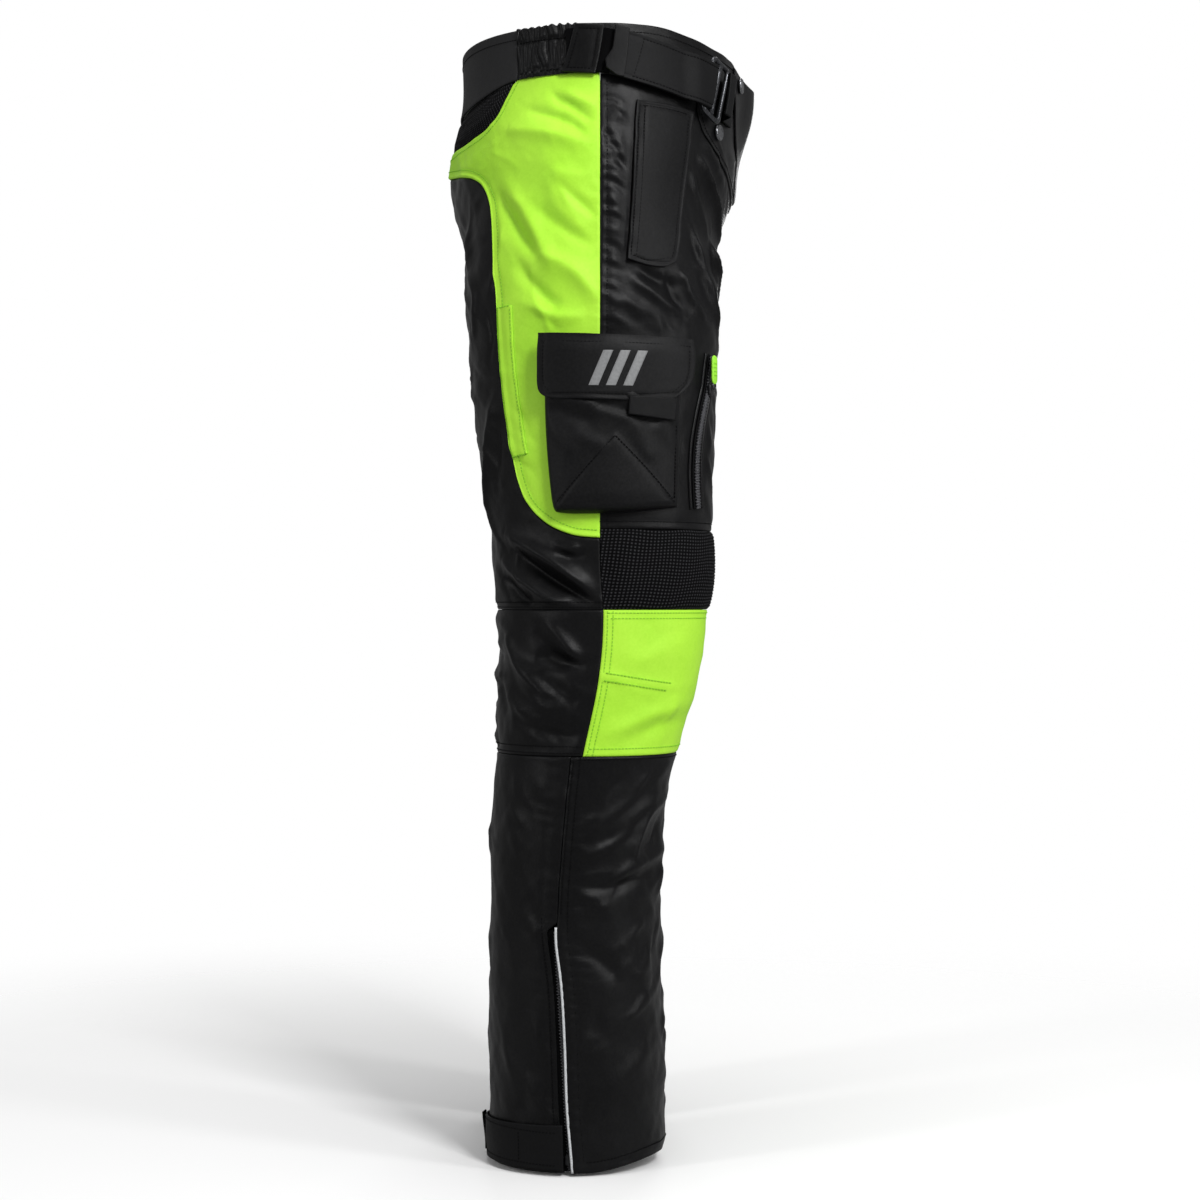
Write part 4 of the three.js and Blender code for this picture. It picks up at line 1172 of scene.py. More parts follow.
def near_line(u, z, points, width):
    d = np.full(np.shape(u), 1e9)
    for p in points:
        d = np.minimum(d, np.hypot((u - p[0]) * per_degree(p[0], p[1]), z - p[1]))
    return np.exp(-(d / width) ** 2)


knee_off = drape(sheet.u, sheet.z) + 0.4 + rolled(sheet.rim())
knee_off += 1.0 * near_line(sheet.u, sheet.z, dart_line, 4.0)
both("knee_panel", sheet.solid(knee_off, CLOTH), GREEN, knee_blend, ["knee_panel"], "bright_panel")

back_knee_edges = dict(low=line(at_x(-16, KNEE_LOW), (REAR_INSEAM, KNEE_LOW)),
                       high=line(at_x(3, KNEE_HIGH), (REAR_INSEAM, KNEE_HIGH)),
                       start=outseam_knee, end=line((REAR_INSEAM, KNEE_LOW), (REAR_INSEAM, KNEE_HIGH)))
sheet = Sheet(back_knee_edges, 2.6)
both("back_knee_panel", sheet.solid(drape(sheet.u, sheet.z) + rolled(sheet.rim()), CLOTH),
     SHELL, knee_blend, ["back_knee_panel"], "shell")

HEM_RISE = 9.0


def hem(u):
    """The hem rises a little over the foot."""
    return HEM + HEM_RISE * smooth(np.cos(np.radians(u)), 0.1, 1.0)


def hem_line(u0, u1, up=0.0):
    def curve(t):
        u = mix(u0, u1, np.asarray(t, float))
        return np.stack([u, hem(u) + up], -1)
    return curve


# The shin panel laps over the zip and ends in a piped edge.
LAP = 1.5
shin_lap = beside_outseam(lambda z: -LAP * (1 - smooth(z, 205, 245)))
shin_edges = dict(low=hem_line(INSEAM, at_x(-23 - LAP, HEM)[0]),
                  high=line((INSEAM, KNEE_LOW), at_x(-27, KNEE_LOW)),
                  start=line((INSEAM, HEM), (INSEAM, KNEE_LOW)), end=shin_lap)
sheet = Sheet(shin_edges, 2.8)
lap = (1 - smooth(sheet.z, 205, 240)) * (1 - smooth(sheet.from_end, 4, 16))
shin_off = (drape(sheet.u, sheet.z) + rolled(sheet.edge("high", "start"))
            + rolled(sheet.from_end, 1.0, 2.6) * (1 - lap) + 1.6 * lap + rolled(sheet.from_low, 0.5, 1.0)
            + pucker(sheet.u, sheet.z, -26, 11, 10, 0.7))
shin_off += 0.5 * (1 - smooth(sheet.from_low, 8.0, 9.5))
both("shin_panel", sheet.solid(shin_off, CLOTH), SHELL, on("{}_shin"), ["shin_panel"], "shell")

calf_edge = beside_outseam(lambda z: -ZIP_SLOT * (1 - smooth(z, ANKLE_ZIP_TOP - 5, ANKLE_ZIP_TOP + 5)))
calf_edges = dict(low=line(at_x(-33, HEM), (REAR_INSEAM, HEM)),
                  high=line(at_x(-27, KNEE_LOW), (REAR_INSEAM, KNEE_LOW)), start=calf_edge,
                  end=line((REAR_INSEAM, HEM), (REAR_INSEAM, KNEE_LOW)))
sheet = Sheet(calf_edges, 2.8)
calf_off = drape(sheet.u, sheet.z) + rolled(sheet.edge("high", "end", "start")) + rolled(sheet.from_low,
                                                                                         0.5, 1.0)
tuck = (1 - smooth(sheet.z, 190, 235)) * (1 - smooth(sheet.from_start, 0, 9))
calf_off += pucker(sheet.u, sheet.z, -44, 9, 11, 0.6)
both("calf_panel", sheet.solid(calf_off - 1.6 * tuck, CLOTH), SHELL, on("{}_shin"), ["calf_panel"], "shell")

# ---- seam tapes: behind every long seam, so that no light shows through it ----
TAPE_WIDE = 9.0


def centre_tape(at, inseam, top):
    """The right half of the tape behind a centre seam."""
    half = inner_edge(at, inseam, CROTCH, top, lambda z: TAPE_WIDE / 2 + 0 * z)
    middle = inner_edge(at, inseam, CROTCH, top)
    return dict(low=line(middle(0.0), half(0.0)), high=line(middle(1.0), half(1.0)), start=middle, end=half)


for name, edges, place in (
    ("centre_front", centre_tape(at_front, INSEAM, 898), hip_blend),
    ("centre_back", centre_tape(at_back, REAR_INSEAM, 948), hip_blend),
    ("outseam_thigh", strip(upright(0, STRETCH_TOP, WAIST_LOW - 6), TAPE_WIDE), hip_blend),
    ("stretch_top", strip(line((INSEAM, STRETCH_TOP), at_x(-3, STRETCH_TOP)), TAPE_WIDE), knee_blend),
    ("knee_top", strip(line((INSEAM, KNEE_HIGH), (REAR_INSEAM, KNEE_HIGH)), TAPE_WIDE), knee_blend),
    ("outseam_knee", strip(piece_of(outseam_knee, 0.04, 0.96), TAPE_WIDE), knee_blend),
    ("outseam_stretch", strip(piece_of(outseam_low, 0.08, 0.92), TAPE_WIDE), knee_blend),
    ("knee_low", strip(line((INSEAM, KNEE_LOW), (REAR_INSEAM, KNEE_LOW)), TAPE_WIDE), on("{}_shin")),
    ("outseam_shin", strip(piece_of(beside_outseam(0.0), 0.64, 0.98), TAPE_WIDE), on("{}_shin")),
):
    sheet = Sheet(edges, 4.0, 0.0)
    tape_off = drape(sheet.u, sheet.z) + prow(sheet.u, sheet.z) - 4.2
    tape = sheet.solid(tape_off, 0.6)
    if name.startswith("centre"):
        tape = meet_in_middle(tape, sheet, 0, gap=0.0)
    both(f"tape_{name}", tape, LINING, place, slot="shell")

# ---- facing strip on the side panel's rear edge ----
strip_path = piece_of(green_below, 4.15 / 14, 6.85 / 14)
facing_edges = strip(parallel(strip_path, 10.0), 17.0)
sheet = Sheet(facing_edges, 3.0)
facing_off = drape(sheet.u, sheet.z) + 1.9 + rounded(sheet.rim(), 0.7)
both("side_facing", sheet.solid(facing_off, 1.0), GREEN, hip_blend, slot="bright_panel")

# ---- the padding inside the legs ----
PAD_SINK, PAD_UNDER = 10.0, -6.2
QUILT_DEPTH, QUILT_PITCH = 1.2, 42.0


def quilted(sheet, offset, pitch):
    """Stitched padding, lower where the hip bends so that it stays under the panels."""
    a, b = sheet.from_start + sheet.from_low, sheet.from_start - sheet.from_low
    seam = np.minimum(np.abs(np.sin(math.pi * a / pitch)), np.abs(np.sin(math.pi * b / pitch)))
    sunk = PAD_SINK * smooth(sheet.z, 660, 745)
    return (drape(sheet.u, sheet.z) * 0.8 + offset - sunk + QUILT_DEPTH * np.clip(seam, 0, 0.5) * 2
            - QUILT_DEPTH + rounded(sheet.rim(), 2.0))


for name, box, node, material, slot_name, thickness in (
    ("thigh_guard", (-72, 76, STRETCH_TOP + 12, CROTCH - 8), "thigh_cut_guard", QUILT, "cut_fibres", 4.0),
    ("shin_guard", (-72, 70, 62, KNEE_LOW - 12), "shin_cut_guard", QUILT, "cut_fibres", 4.0),
    ("knee_cushion", (-46, 50, KNEE_LOW + 14, KNEE_HIGH - 10), "knee_pad", FOAM, "foam", 7.0),
):
    sheet = Sheet(box_edges(*box), 6.0)
    body = "{}_shin" if name == "shin_guard" else "{}_thigh"
    both(name, sheet.solid(quilted(sheet, PAD_UNDER, QUILT_PITCH), thickness), material, on(body), [node],
         slot_name)

# ---- thigh pocket ----
POCKET_DEEP = 13.0
pocket_edges = dict(low=side([(-36, 607), (-20, 606), (20, 607), (68, 612)]),
                    high=side([(-50, 760), (-20, 760), (20, 760), (70, 760)]),
                    start=side([(-36, 607), (-42, 616), (-48, 680), (-50, 760)]),
                    end=side([(68, 612), (69, 660), (70, 720), (70, 760)]))
sheet = Sheet(pocket_edges, 2.6)
rim = np.minimum(sheet.edge("start", "end"), sheet.from_low)
pocket_x, _ = section(sheet.u, sheet.z)
APEX, FEET = (12, 682), ((-38, 612), (66, 612))
POCKET_FOOT, POCKET_ROUND, POCKET_SWELL, GUSSET_RISE = 1.7, 7.0, 2.4, 1.6


def pocket_wall(rim):
    """The pocket's height near its rim: a quarter circle, as a share of its depth."""
    wall = np.sqrt(np.clip(1 - (1 - np.clip(rim / POCKET_ROUND, 0, 1)) ** 2, 0, 1))
    return POCKET_FOOT + (POCKET_DEEP - 2.6) * wall


def under_apex(x, z):
    """1 inside the gusset's triangle and 0 outside it."""
    return smooth((APEX[1] - z) * 0.72 - np.abs(x - APEX[0]) * 0.95, -3, 3)


def distance_to(x, z, a, b):
    ax, az = x - a[0], z - a[1]
    bx, bz = b[0] - a[0], b[1] - a[1]
    t = np.clip((ax * bx + az * bz) / (bx * bx + bz * bz), 0, 1)
    return np.hypot(ax - t * bx, az - t * bz)


gusset = np.minimum.reduce([distance_to(pocket_x, sheet.z, APEX, foot) for foot in FEET])
below = under_apex(pocket_x, sheet.z)
pocket_off = pocket_wall(rim)
pocket_off += POCKET_SWELL * np.sin(math.pi * sheet.s)[None, :] ** 0.8 * smooth(rim, 0, 20)
pocket_off += GUSSET_RISE * below * smooth(rim, 0, 8) - 1.5 * np.exp(-(gusset / 2.0) ** 2) * smooth(rim, 2, 9)
for a, b, high, wide in (
    ((-34, 712), (24, 694), 2.2, 6), ((-40, 700), (-10, 690), -2.0, 6), ((0, 704), (46, 692), -2.4, 6),
    ((24, 712), (70, 690), 2.2, 6), ((-46, 690), (-24, 664), 1.5, 7), ((50, 690), (72, 660), 1.4, 7),
    ((-20, 676), (0, 668), 1.4, 8), ((30, 686), (40, 660), 1.3, 6), ((-30, 722), (30, 716), 1.4, 5),
):
    away = distance_to(pocket_x, sheet.z, a, b)
    pocket_off += 1.35 * high * np.exp(-(away / (wide * 0.8)) ** 2) * smooth(rim, 2, 14)
both("cargo_pocket", sheet.solid(pocket_off, 1.3), POCKET_CLOTH, on("{}_thigh"), ["cargo_pocket"], "shell")


def pocket_height(u, z):
    """The pocket's outer surface, for things sewn on it."""
    x, _ = section(u, z)
    inside_rim = np.minimum.reduce([x + 48, 70 - x, z - 607])
    swell = np.clip(np.sin(math.pi * (x + 48) / 118), 0, 1) ** 0.8
    return pocket_wall(inside_rim) + POCKET_SWELL * swell + GUSSET_RISE * under_apex(x, z) + 0.1


# ---- pocket flap ----
FLAP_OUT = 17.6
flap_edges = dict(low=side([(-43, 711), (-20, 710), (22, 709), (56, 711), (62, 713)]),
                  high=side([(-52, 771), (-20, 770), (30, 768), (77, 767)]),
                  start=side([(-43, 711), (-51, 719), (-52, 742), (-52, 771)]),
                  end=side([(62, 713), (74, 727), (77, 745), (77, 767)]))
sheet = Sheet(flap_edges, 2.8)


def flap_height(u, z):
    x, _ = section(u, z)
    sag = 1.2 * np.sin((x + 50) / 130 * 2 * math.pi) * smooth(770 - z, 10, 55)
    return FLAP_OUT + sag - 2.5 * smooth(z, 754, 769)


flap_off = flap_height(sheet.u, sheet.z) + rounded(sheet.edge("start", "end", "low"), 1.0)
flap_off += -0.8 * np.exp(-((sheet.edge("start", "end", "low") - 4.8) / 0.9) ** 2)
flap_off += 0.45 * np.sin(sheet.from_start / 6.0 + 2
                          * np.sin(sheet.from_start / 19)) * np.exp(-((sheet.from_low - 2) / 4) ** 2)
flap_off += 0.35 * np.sin(sheet.from_start / 8.0) * np.exp(-((sheet.from_high - 6) / 5) ** 2)


def flap_blend(piece, s):
    x, y, z = frame_joint(f"{s}_cargo_flap_hinge")["pos_m"]
    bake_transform(piece)


both("cargo_flap", sheet.solid(flap_off, 1.7), POCKET_CLOTH, flap_blend, ["cargo_flap"], "shell")

# Generic reflective marks: three plain slanted bars.
marks = []
for k in range(3):
    left, low, high = -10 + 14 * k, 722, 754
    bar = Sheet(corners(at_x(left, low), at_x(left + 8, low), at_x(left + 12, high), at_x(left + 20, high)),
                2.0, 0.0)
    marks.append(bar.solid(flap_height(bar.u, bar.z) + 0.25, 0.7)[:2])
both("flap_marks", joined(marks), REFLECT, flap_blend, slot="shell")

# A blank label tab that hangs under the flap.
sheet = Sheet(corners(at_x(22, 696), at_x(60, 691), at_x(23, 713), at_x(62, 712)), 2.4)
both("flap_label", sheet.solid(FLAP_OUT + 1.2 + rounded(sheet.rim(), 0.6), 1.0), LABEL, flap_blend,
     slot="webbing")

# ---- hip flap ----
hip_edges = dict(low=side([(24, 839), (44, 834), (58, 834), (64, 837)]),
                 high=side([(33, 988), (60, 987), (86, 984)]),
                 start=side([(24, 839), (29, 915), (33, 988)]),
                 end=side([(64, 837), (71, 848), (78, 915), (86, 984)]))
sheet = Sheet(hip_edges, 2.8)


def hip_height(u, z):
    x, _ = section(u, z)
    return 3.9 + 0.5 * np.sin(x / 9.0) * np.sin(z / 30.0) + 1.0 * (1 - smooth(x, 24, 40))


hip_off = hip_height(sheet.u, sheet.z) + rounded(sheet.rim(), 0.9)
hip_off += -0.8 * np.exp(-((sheet.rim() - 4.0) / 0.9) ** 2)
hip_off += -0.8 * np.exp(-((sheet.from_start - 8.6) / 0.9) ** 2)
hip_off += 0.5 * np.sin(sheet.z / 6.5 + 2
                        * np.sin(sheet.z / 17)) * np.exp(-((sheet.edge("start", "end") - 2) / 4) ** 2)


def hip_flap_blend(piece, s):
    joint = frame_joint(f"{s}_hip_flap_hinge")
    start = Vector(joint["pos_m"])
    axis = Vector(joint["axis"])
    back = Vector((-0.92, 0.38 * outwards(s), 0.0))
    back -= axis * back.dot(axis)
    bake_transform(piece)


both("hip_flap", sheet.solid(hip_off, 1.5), POCKET_CLOTH, hip_flap_blend, ["hip_flap"], "shell")

# ---- vent zip ----


def vent_line(t):
    z = mix(VENT_LOW, VENT_HIGH, np.asarray(t, float))
    share = (z - VENT_LOW) / (VENT_HIGH - VENT_LOW)
    bow = 3.8 * np.sin(math.pi * np.clip(share / 0.77, 0, 1)) - 3.0 * (1 - share) ** 3
    return np.stack([vent_u(z) + bow, z], -1)


sheet = Sheet(strip(vent_line, 10.0), 2.4)
tape = sheet.solid(2.0 + drape(sheet.u, sheet.z), 0.8)


def coil(path, offset, width=4.2, pitch=1.5, height=1.3, a=0.0, b=1.0):
    """The two interlocked rows of a closed zip."""
    fine = path(np.linspace(a, b, 600))
    p = surface(fine[:, 0], fine[:, 1], offset)
    steps = np.concatenate([[0], np.cumsum(np.linalg.norm(np.diff(p, axis=0), axis=1))])
    middle = np.arange(1.0, steps[-1] - 1.0, pitch)
    k = np.clip(np.interp(middle, steps, np.arange(600)).astype(int), 0, 598)
    along = p[k + 1] - p[k]
    along /= np.linalg.norm(along, axis=1, keepdims=True)
    normal = normal_at(fine[k, 0], fine[k, 1], offset)
    across = np.cross(normal, along)
    shift = np.where(np.arange(len(k)) % 2 == 0, 0.5, -0.5)[:, None]
    centre = p[k] + across * shift + normal * (height / 2)
    points, faces = bars(centre, across, normal, (width, pitch * 0.72, height))
    return points, faces.tolist()


teeth_points, teeth_faces = coil(vent_line, 2.6, 6.0, height=1.8)
both("vent_tape", tape, LINING, on("{}_thigh"), ["vent_zip"], "zip_tape")
both("vent_coil", (teeth_points, teeth_faces), COIL, on("{}_thigh"), slot="zip_tape")
lips = []
for gap, tall in ((-7.4, 1.7), (6.6, 4.4)):
    lip = Sheet(strip(parallel(vent_line, gap), 4.4), 2.0)
    lips.append(lip.solid(tall + drape(lip.u, lip.z) + rounded(lip.rim(), 0.8), tall - 0.8)[:2])
both("vent_lips", joined(lips), SHELL, on("{}_thigh"), slot="shell")

slider_points, slider_faces = slab(rounded_loop(8, 11, 2.6), 3.2, 0.8)
SLIDER_Z, PULL_Z = 724.0, 727.0
vent_top = (vent_u(SLIDER_Z), SLIDER_Z)
pull_at = (vent_u(PULL_Z), PULL_Z)
both("vent_slider", (placed(slider_points, vent_top, 4.2), slider_faces), SLIDER_METAL,
     on("{}_vent_slider"), ["vent_slider"], "metal")
ring = np.array([(2.8 * math.cos(a), 0.4 + 3.6 * math.sin(a), 0) for a in np.linspace(0, 2 * math.pi, 20,
                                                                                      endpoint=False)])
ring_points, ring_faces = tube(placed(ring, pull_at, 9.4), 0.7, 8, closed=True)
pull_points, pull_faces = slab(rounded_loop(10, 27, 4.6) + np.array([0, 15.5]), 2.0, 0.8, 0.0)
rib_parts = [(placed(pull_points, pull_at, 8.4), pull_faces)]
for k in range(4):
    bar_points, bar_faces = slab(rounded_loop(6.4, 1.3, 0.6, 3) + np.array([0, 11.0 + 3.6 * k]), 0.7, 0.2)
    rib_parts.append((placed(bar_points + np.array([0, 0, 1.9]), pull_at, 8.4), bar_faces))
both("vent_pull", joined(rib_parts), GREEN_RUBBER, on("{}_vent_pull"), ["vent_pull"], "bright_panel")
both("vent_pull_ring", (ring_points, ring_faces), METAL, on("{}_vent_pull"), slot="metal")

# ---- ankle zip, piping and strap ----


def ankle_line(t):
    z = mix(HEM + 1, ANKLE_ZIP_TOP - 3, np.asarray(t, float))
    return at_x(ankle_zip_x(z), z)


sheet = Sheet(strip(ankle_line, 21.0), 3.0)
both("ankle_tape", sheet.solid(-4.9, 0.7), LINING, on("{}_shin"), ["ankle_zip"], "zip_tape")
teeth_points, teeth_faces = coil(ankle_line, level(-4.7), 4.0)
both("ankle_coil", (teeth_points, teeth_faces), COIL, on("{}_shin"), slot="zip_tape")
piping_path = piece_of(shin_lap, 0.002, ANKLE_ZIP_TOP / KNEE_LOW)(np.linspace(0, 1, 90))
both("ankle_piping", tube(surface(piping_path[:, 0] + 0.5, piping_path[:, 1], 1.3), 1.25, 8), PIPING,
     on("{}_shin"), slot="shell")
ANKLE_SLIDER_Z = 12
slider_points, slider_faces = slab(rounded_loop(7, 10, 2.2), 1.8, 0.4)
both("ankle_slider", (placed(slider_points, at_x(ankle_zip_x(ANKLE_SLIDER_Z), ANKLE_SLIDER_Z), -2.6),
                      slider_faces), SLIDER_METAL, on("{}_ankle_slider"), ["ankle_slider"], "metal")

ANKLE_STRAP_REAR = 189.0
sheet = Sheet(corners((at_x(-33, 3)[0], 3), (ANKLE_STRAP_REAR, 3), (at_x(-34, 45)[0], 45),
                      (ANKLE_STRAP_REAR, 40)), 2.8)


def ankle_height(u, z):
    return 3.9 + drape(u, z) * 0.5 + 0.6 * np.sin(u / 11.0)


def ankle_blend(piece, s):
    x, y, z = frame_joint(f"{s}_ankle_strap_hinge")["pos_m"]
    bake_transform(piece)


both("ankle_strap", sheet.solid(ankle_height(sheet.u, sheet.z) + rounded(sheet.rim(), 0.8), 1.5),
     STRAP, ankle_blend, ["ankle_strap"], "webbing")
tab = box_edges(185.5, 194.0, 4, 39)
sheet = Sheet(tab, 2.0)
tab_flare = 2.6 * smooth(sheet.z, 8, 40)
both("ankle_tab", sheet.solid(6.2 + tab_flare + rounded(sheet.rim(), 0.6), 1.2), LABEL, ankle_blend,
     slot="webbing")

# ---- waistband ----


def band_edges(a, b):
    def edge(f):
        def curve(t):
            u = mix(a, b, np.asarray(t, float))
            return np.stack([u, f(u)], -1)
        return curve
    return dict(low=edge(band_low), high=edge(band_top), start=line((a, band_low(a)), (a, band_top(a))),
                end=line((b, band_low(b)), (b, band_top(b))))


def band_thickness(sheet):
    """The band thins towards its lower edge, where the panels pass under it."""
    return 3.0 - 1.7 * (1 - smooth(sheet.from_low, 0, 4))


band_front = at_front(1, WAIST_LOW)[0]
elastic_front, elastic_rear = at_x(-20, WAIST_LOW)[0], at_x(-77, WAIST_LOW)[0]
opposite = 2 * BACK_CENTRE - elastic_rear
sheet = Sheet(band_edges(band_front, elastic_front), 3.0)
band_off = 1.7 + rolled(sheet.edge("low"), 0.8, 2.0) + rounded(sheet.from_high, 1.2) + prow(sheet.u, sheet.z)
band_off += 0.5 * np.sin(sheet.from_start / 7.0) * np.exp(-((sheet.from_high - 2) / 5) ** 2)
both("waistband_front", sheet.solid(band_off, band_thickness(sheet)), SHELL, on("waist"),
     ["waistband_front"], "shell")

sheet = Sheet(band_edges(elastic_front, elastic_rear), 1.5)
gather = sheet.from_start
wander = 1.4 * np.sin(sheet.from_low / 9.0 + gather / 5.0) + 1.0 * np.sin(sheet.from_low / 5.0)
crimp = np.abs(np.sin(math.pi * (gather + wander + 2.2 * np.sin(gather / 9.0)) / 7.4)) ** 0.7
crimp *= 0.72 + 0.28 * np.sin(gather / 6.1 + sheet.from_low / 11.0)
held = 1 - 0.75 * np.exp(-((sheet.from_high - 13) / 1.8) ** 2) - 0.7 * np.exp(-((sheet.from_low - 7)
                                                                                / 1.8) ** 2)
elastic_off = 0.7 + 4.2 * crimp * held * smooth(sheet.edge("start", "end"), 0,
                                                3) + rounded(sheet.from_high, 1.0)
elastic_off -= 2.0 * crimp * (1 - smooth(sheet.from_low, 0, 3.5)) * smooth(sheet.edge("start", "end"), 0, 3)
points, faces, uv = sheet.solid(elastic_off, 2.6 - 1.8 * (1 - smooth(sheet.from_low, 0, 4)))
grid = sheet.u.size
ruffle = (0.9 * np.sin(2 * math.pi * sheet.from_start / 7.4) * smooth(-sheet.from_high, -6, 0)).reshape(-1)
points[:grid, 2] += ruffle
points[grid:, 2] += ruffle
both("waistband_elastic", (points, faces, uv), SHELL, on("waist"), ["waistband_elastic"], "shell")

sheet = Sheet(band_edges(elastic_rear, opposite), 3.0)
back_off = 1.7 + rounded(sheet.from_high, 1.2) + rolled(sheet.edge("low", "start", "end"), 0.7, 2.0)
single("waistband_back", sheet.solid(back_off, band_thickness(sheet)), SMOOTH, "waist", "waistband_back")

# ---- ribbed yoke ----


def mirrored_u(u):
    return 2 * BACK_CENTRE - u


def yoke_low(t):
    t = np.asarray(t, float)
    half = green_above(mix(8 / 14, 1, np.where(t < 0.5, 2 * t, 2 - 2 * t)))
    return np.stack([np.where(t < 0.5, half[..., 0], mirrored_u(half[..., 0])), half[..., 1]], -1)


yoke_from = ends(yoke_low)[0, 0]


def yoke_high(t):
    u = mix(yoke_from, mirrored_u(yoke_from), np.asarray(t, float))
    return np.stack([u, band_low(u) + TUCK], -1)


sheet = Sheet(between_curves(yoke_low, yoke_high), 1.3)
slant = sheet.from_start + 0.25 * sheet.from_low
yoke_off = (0.4 + 0.85 * np.abs(np.sin(math.pi * slant / RIB[0]))
            * (0.6 + 0.4 * np.abs(np.sin(math.pi * sheet.from_low / RIB[1]))))
yoke_off += rolled(sheet.from_low, 0.9, 2.0) + tucked(sheet.from_high)
points, faces, _ = sheet.solid(yoke_off, 1.8)
uv = np.tile(np.stack([slant, sheet.from_low], -1).reshape(-1, 2), (2, 1))
single("back_yoke", (points, faces, uv), KNIT, "waist", "back_stretch_yoke")

# ---- waist adjuster ----


def strap_at(x):
    x = np.asarray(x, float)
    return at_x(x, mix(1034, 1009, np.maximum((x - 5) / 92, 0)))


def strap_path(a, b):
    return lambda t: strap_at(mix(a, b, np.asarray(t, float)))


patch_edges = corners(at_x(-34, 1014), at_x(-4, 1011), at_x(-22, 1059), at_x(4, 1057))
sheet = Sheet(patch_edges, 2.8)
both("strap_patch", sheet.solid(6.6 + rounded(sheet.rim(), 0.8)
                                - 0.4 * np.exp(-((sheet.rim() - 5) / 1.2) ** 2), 1.8),
     SHELL, on("waist"), slot="shell")
sheet = Sheet(strip(strap_path(-30, 78), 42.0), 3.0)
both("strap_base", sheet.solid(4.6 + rounded(sheet.edge("low", "high"), 0.7), 1.8), HOOK, on("waist"),
     ["strap_base"], "webbing")
sheet = Sheet(strip(strap_path(14, 97), 44.0), 2.6)


def strap_height(u, z):
    x, _ = section(u, z)
    return 11.2 - 1.8 * (1 - smooth(x, 20, 60)) + 5.2 * smooth(x, 70, 84)


strap_off = strap_height(sheet.u, sheet.z) + rounded(sheet.rim(), 0.8)
strap_off += -0.4 * np.exp(-((sheet.edge("low", "high") - 3.6) / 1.0) ** 2)


def strap_blend(piece, s):
    x, y, z = frame_joint(f"{s}_waist_strap_hinge")["pos_m"]
    back = Vector((-0.6, 0.8 * outwards(s), 0)) * 0.014
    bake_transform(piece)


both("waist_strap", sheet.solid(strap_off, 1.9), STRAP, strap_blend, ["waist_strap"], "webbing")
# The strap's end tab, with a blunt point.
tab_edges = dict(low=polyline([(5.0, 1016), (14, 1008), (20, 1007)]),
                 high=polyline([(13, 1056), (19, 1054.5), (25, 1053)]),
                 start=polyline([(5.0, 1016), (4.2, 1024), (10.4, 1034), (13, 1056)]),
                 end=polyline([(20, 1007), (25, 1053)]))
sheet = Sheet(tab_edges, 2.2)
both("strap_tab", sheet.solid(11.9 + rounded(sheet.rim(), 0.8), 1.6), LABEL, strap_blend,
     slot="webbing")

# ---- buckle ----
BUCKLE_AT = at_x(101, 1008)
BUCKLE_LEAN = -20.0
BUCKLE_HEIGHT = 9.6
frame_loop = np.array([(x, y, 0) for x, y in rounded_loop(27, 55, 4.0, 4)])
bar = np.array([(-1.0, y, 0.3) for y in np.linspace(-26, 26, 7)])
parts = [tube(placed(frame_loop, BUCKLE_AT, BUCKLE_HEIGHT, BUCKLE_LEAN), 2.4, 12, closed=True),
         tube(placed(bar, BUCKLE_AT, BUCKLE_HEIGHT, BUCKLE_LEAN), 2.9, 12)]
both("buckle", joined(parts), METAL, on("{}_buckle"), ["buckle"], "metal")


def loop_path(t):
    t = np.asarray(t, float)
    return at_x(mix(108, 124, t), mix(1007, 1002, t))


sheet = Sheet(strip(loop_path, 42.0), 2.4)
both("buckle_loop", sheet.solid(4.9 + 12.2 * (1 - smooth(sheet.from_start, 10, 20)) + prow(sheet.u, sheet.z)
                                + rounded(sheet.rim(), 0.7), 1.8),
     STRAP, on("waist"), ["buckle_loop"], "webbing")

# ---- crossover: the double layer beside the fly, under the buckle ----


def crossover_height(u, z):
    return drape(u, z) + prow(u, z) + 1.6


crossover_low = through([at_front(143, 988), at_front(131, 968), at_front(112, 953), at_front(88, 939),
                         at_front(46, 922), at_front(24, 916), at_front(FLY_OPEN + 1, 913)])


def crossover_high(t):
    u = mix(*ends(crossover_low)[:, 0], np.asarray(t, float))
    return np.stack([u, band_low(u) + 2.5], -1)


sheet = Sheet(between_curves(crossover_low, crossover_high), 2.8)
crossover_off = (crossover_height(sheet.u, sheet.z) + tucked(sheet.from_high)
                 + rounded(sheet.edge("low", "start", "end"), 0.8))
both("crossover", sheet.solid(crossover_off, 1.0), SHELL, on("waist"), slot="shell")

# ---- fly ----
fly_edges = dict(low=line(at_front(-12, 922), at_front(30, 922)),
                 high=through([at_front(-16, 1033), at_front(18, 1032), at_front(44, 1038),
                               at_front(64, 1043)]),
                 start=through([at_front(-12, 922), at_front(-16, 985), at_front(-16, 1033)]),
                 end=through([at_front(30, 922), at_front(52, 975), at_front(66, 1012),
                              at_front(64, 1043)]))
sheet = Sheet(fly_edges, 2.8)


def fly_height(u, z):
    y = section(u, z)[1]
    ridge = 6.0 * (1 - smooth(np.abs(y - 4), 0, 52)) * smooth(z, 940, 1035)
    return 4.0 + prow(u, z) + ridge + 0.5 * np.sin(z / 12.0 + y / 14.0)


fly_off = fly_height(sheet.u, sheet.z) + rounded(sheet.rim(), 0.9)


def fly_blend(piece):
    x, y, z = frame_joint("fly_flap_hinge")["pos_m"]
    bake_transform(piece)


single("fly_flap", sheet.solid(fly_off, 1.8), SHELL, fly_blend, "fly_flap")


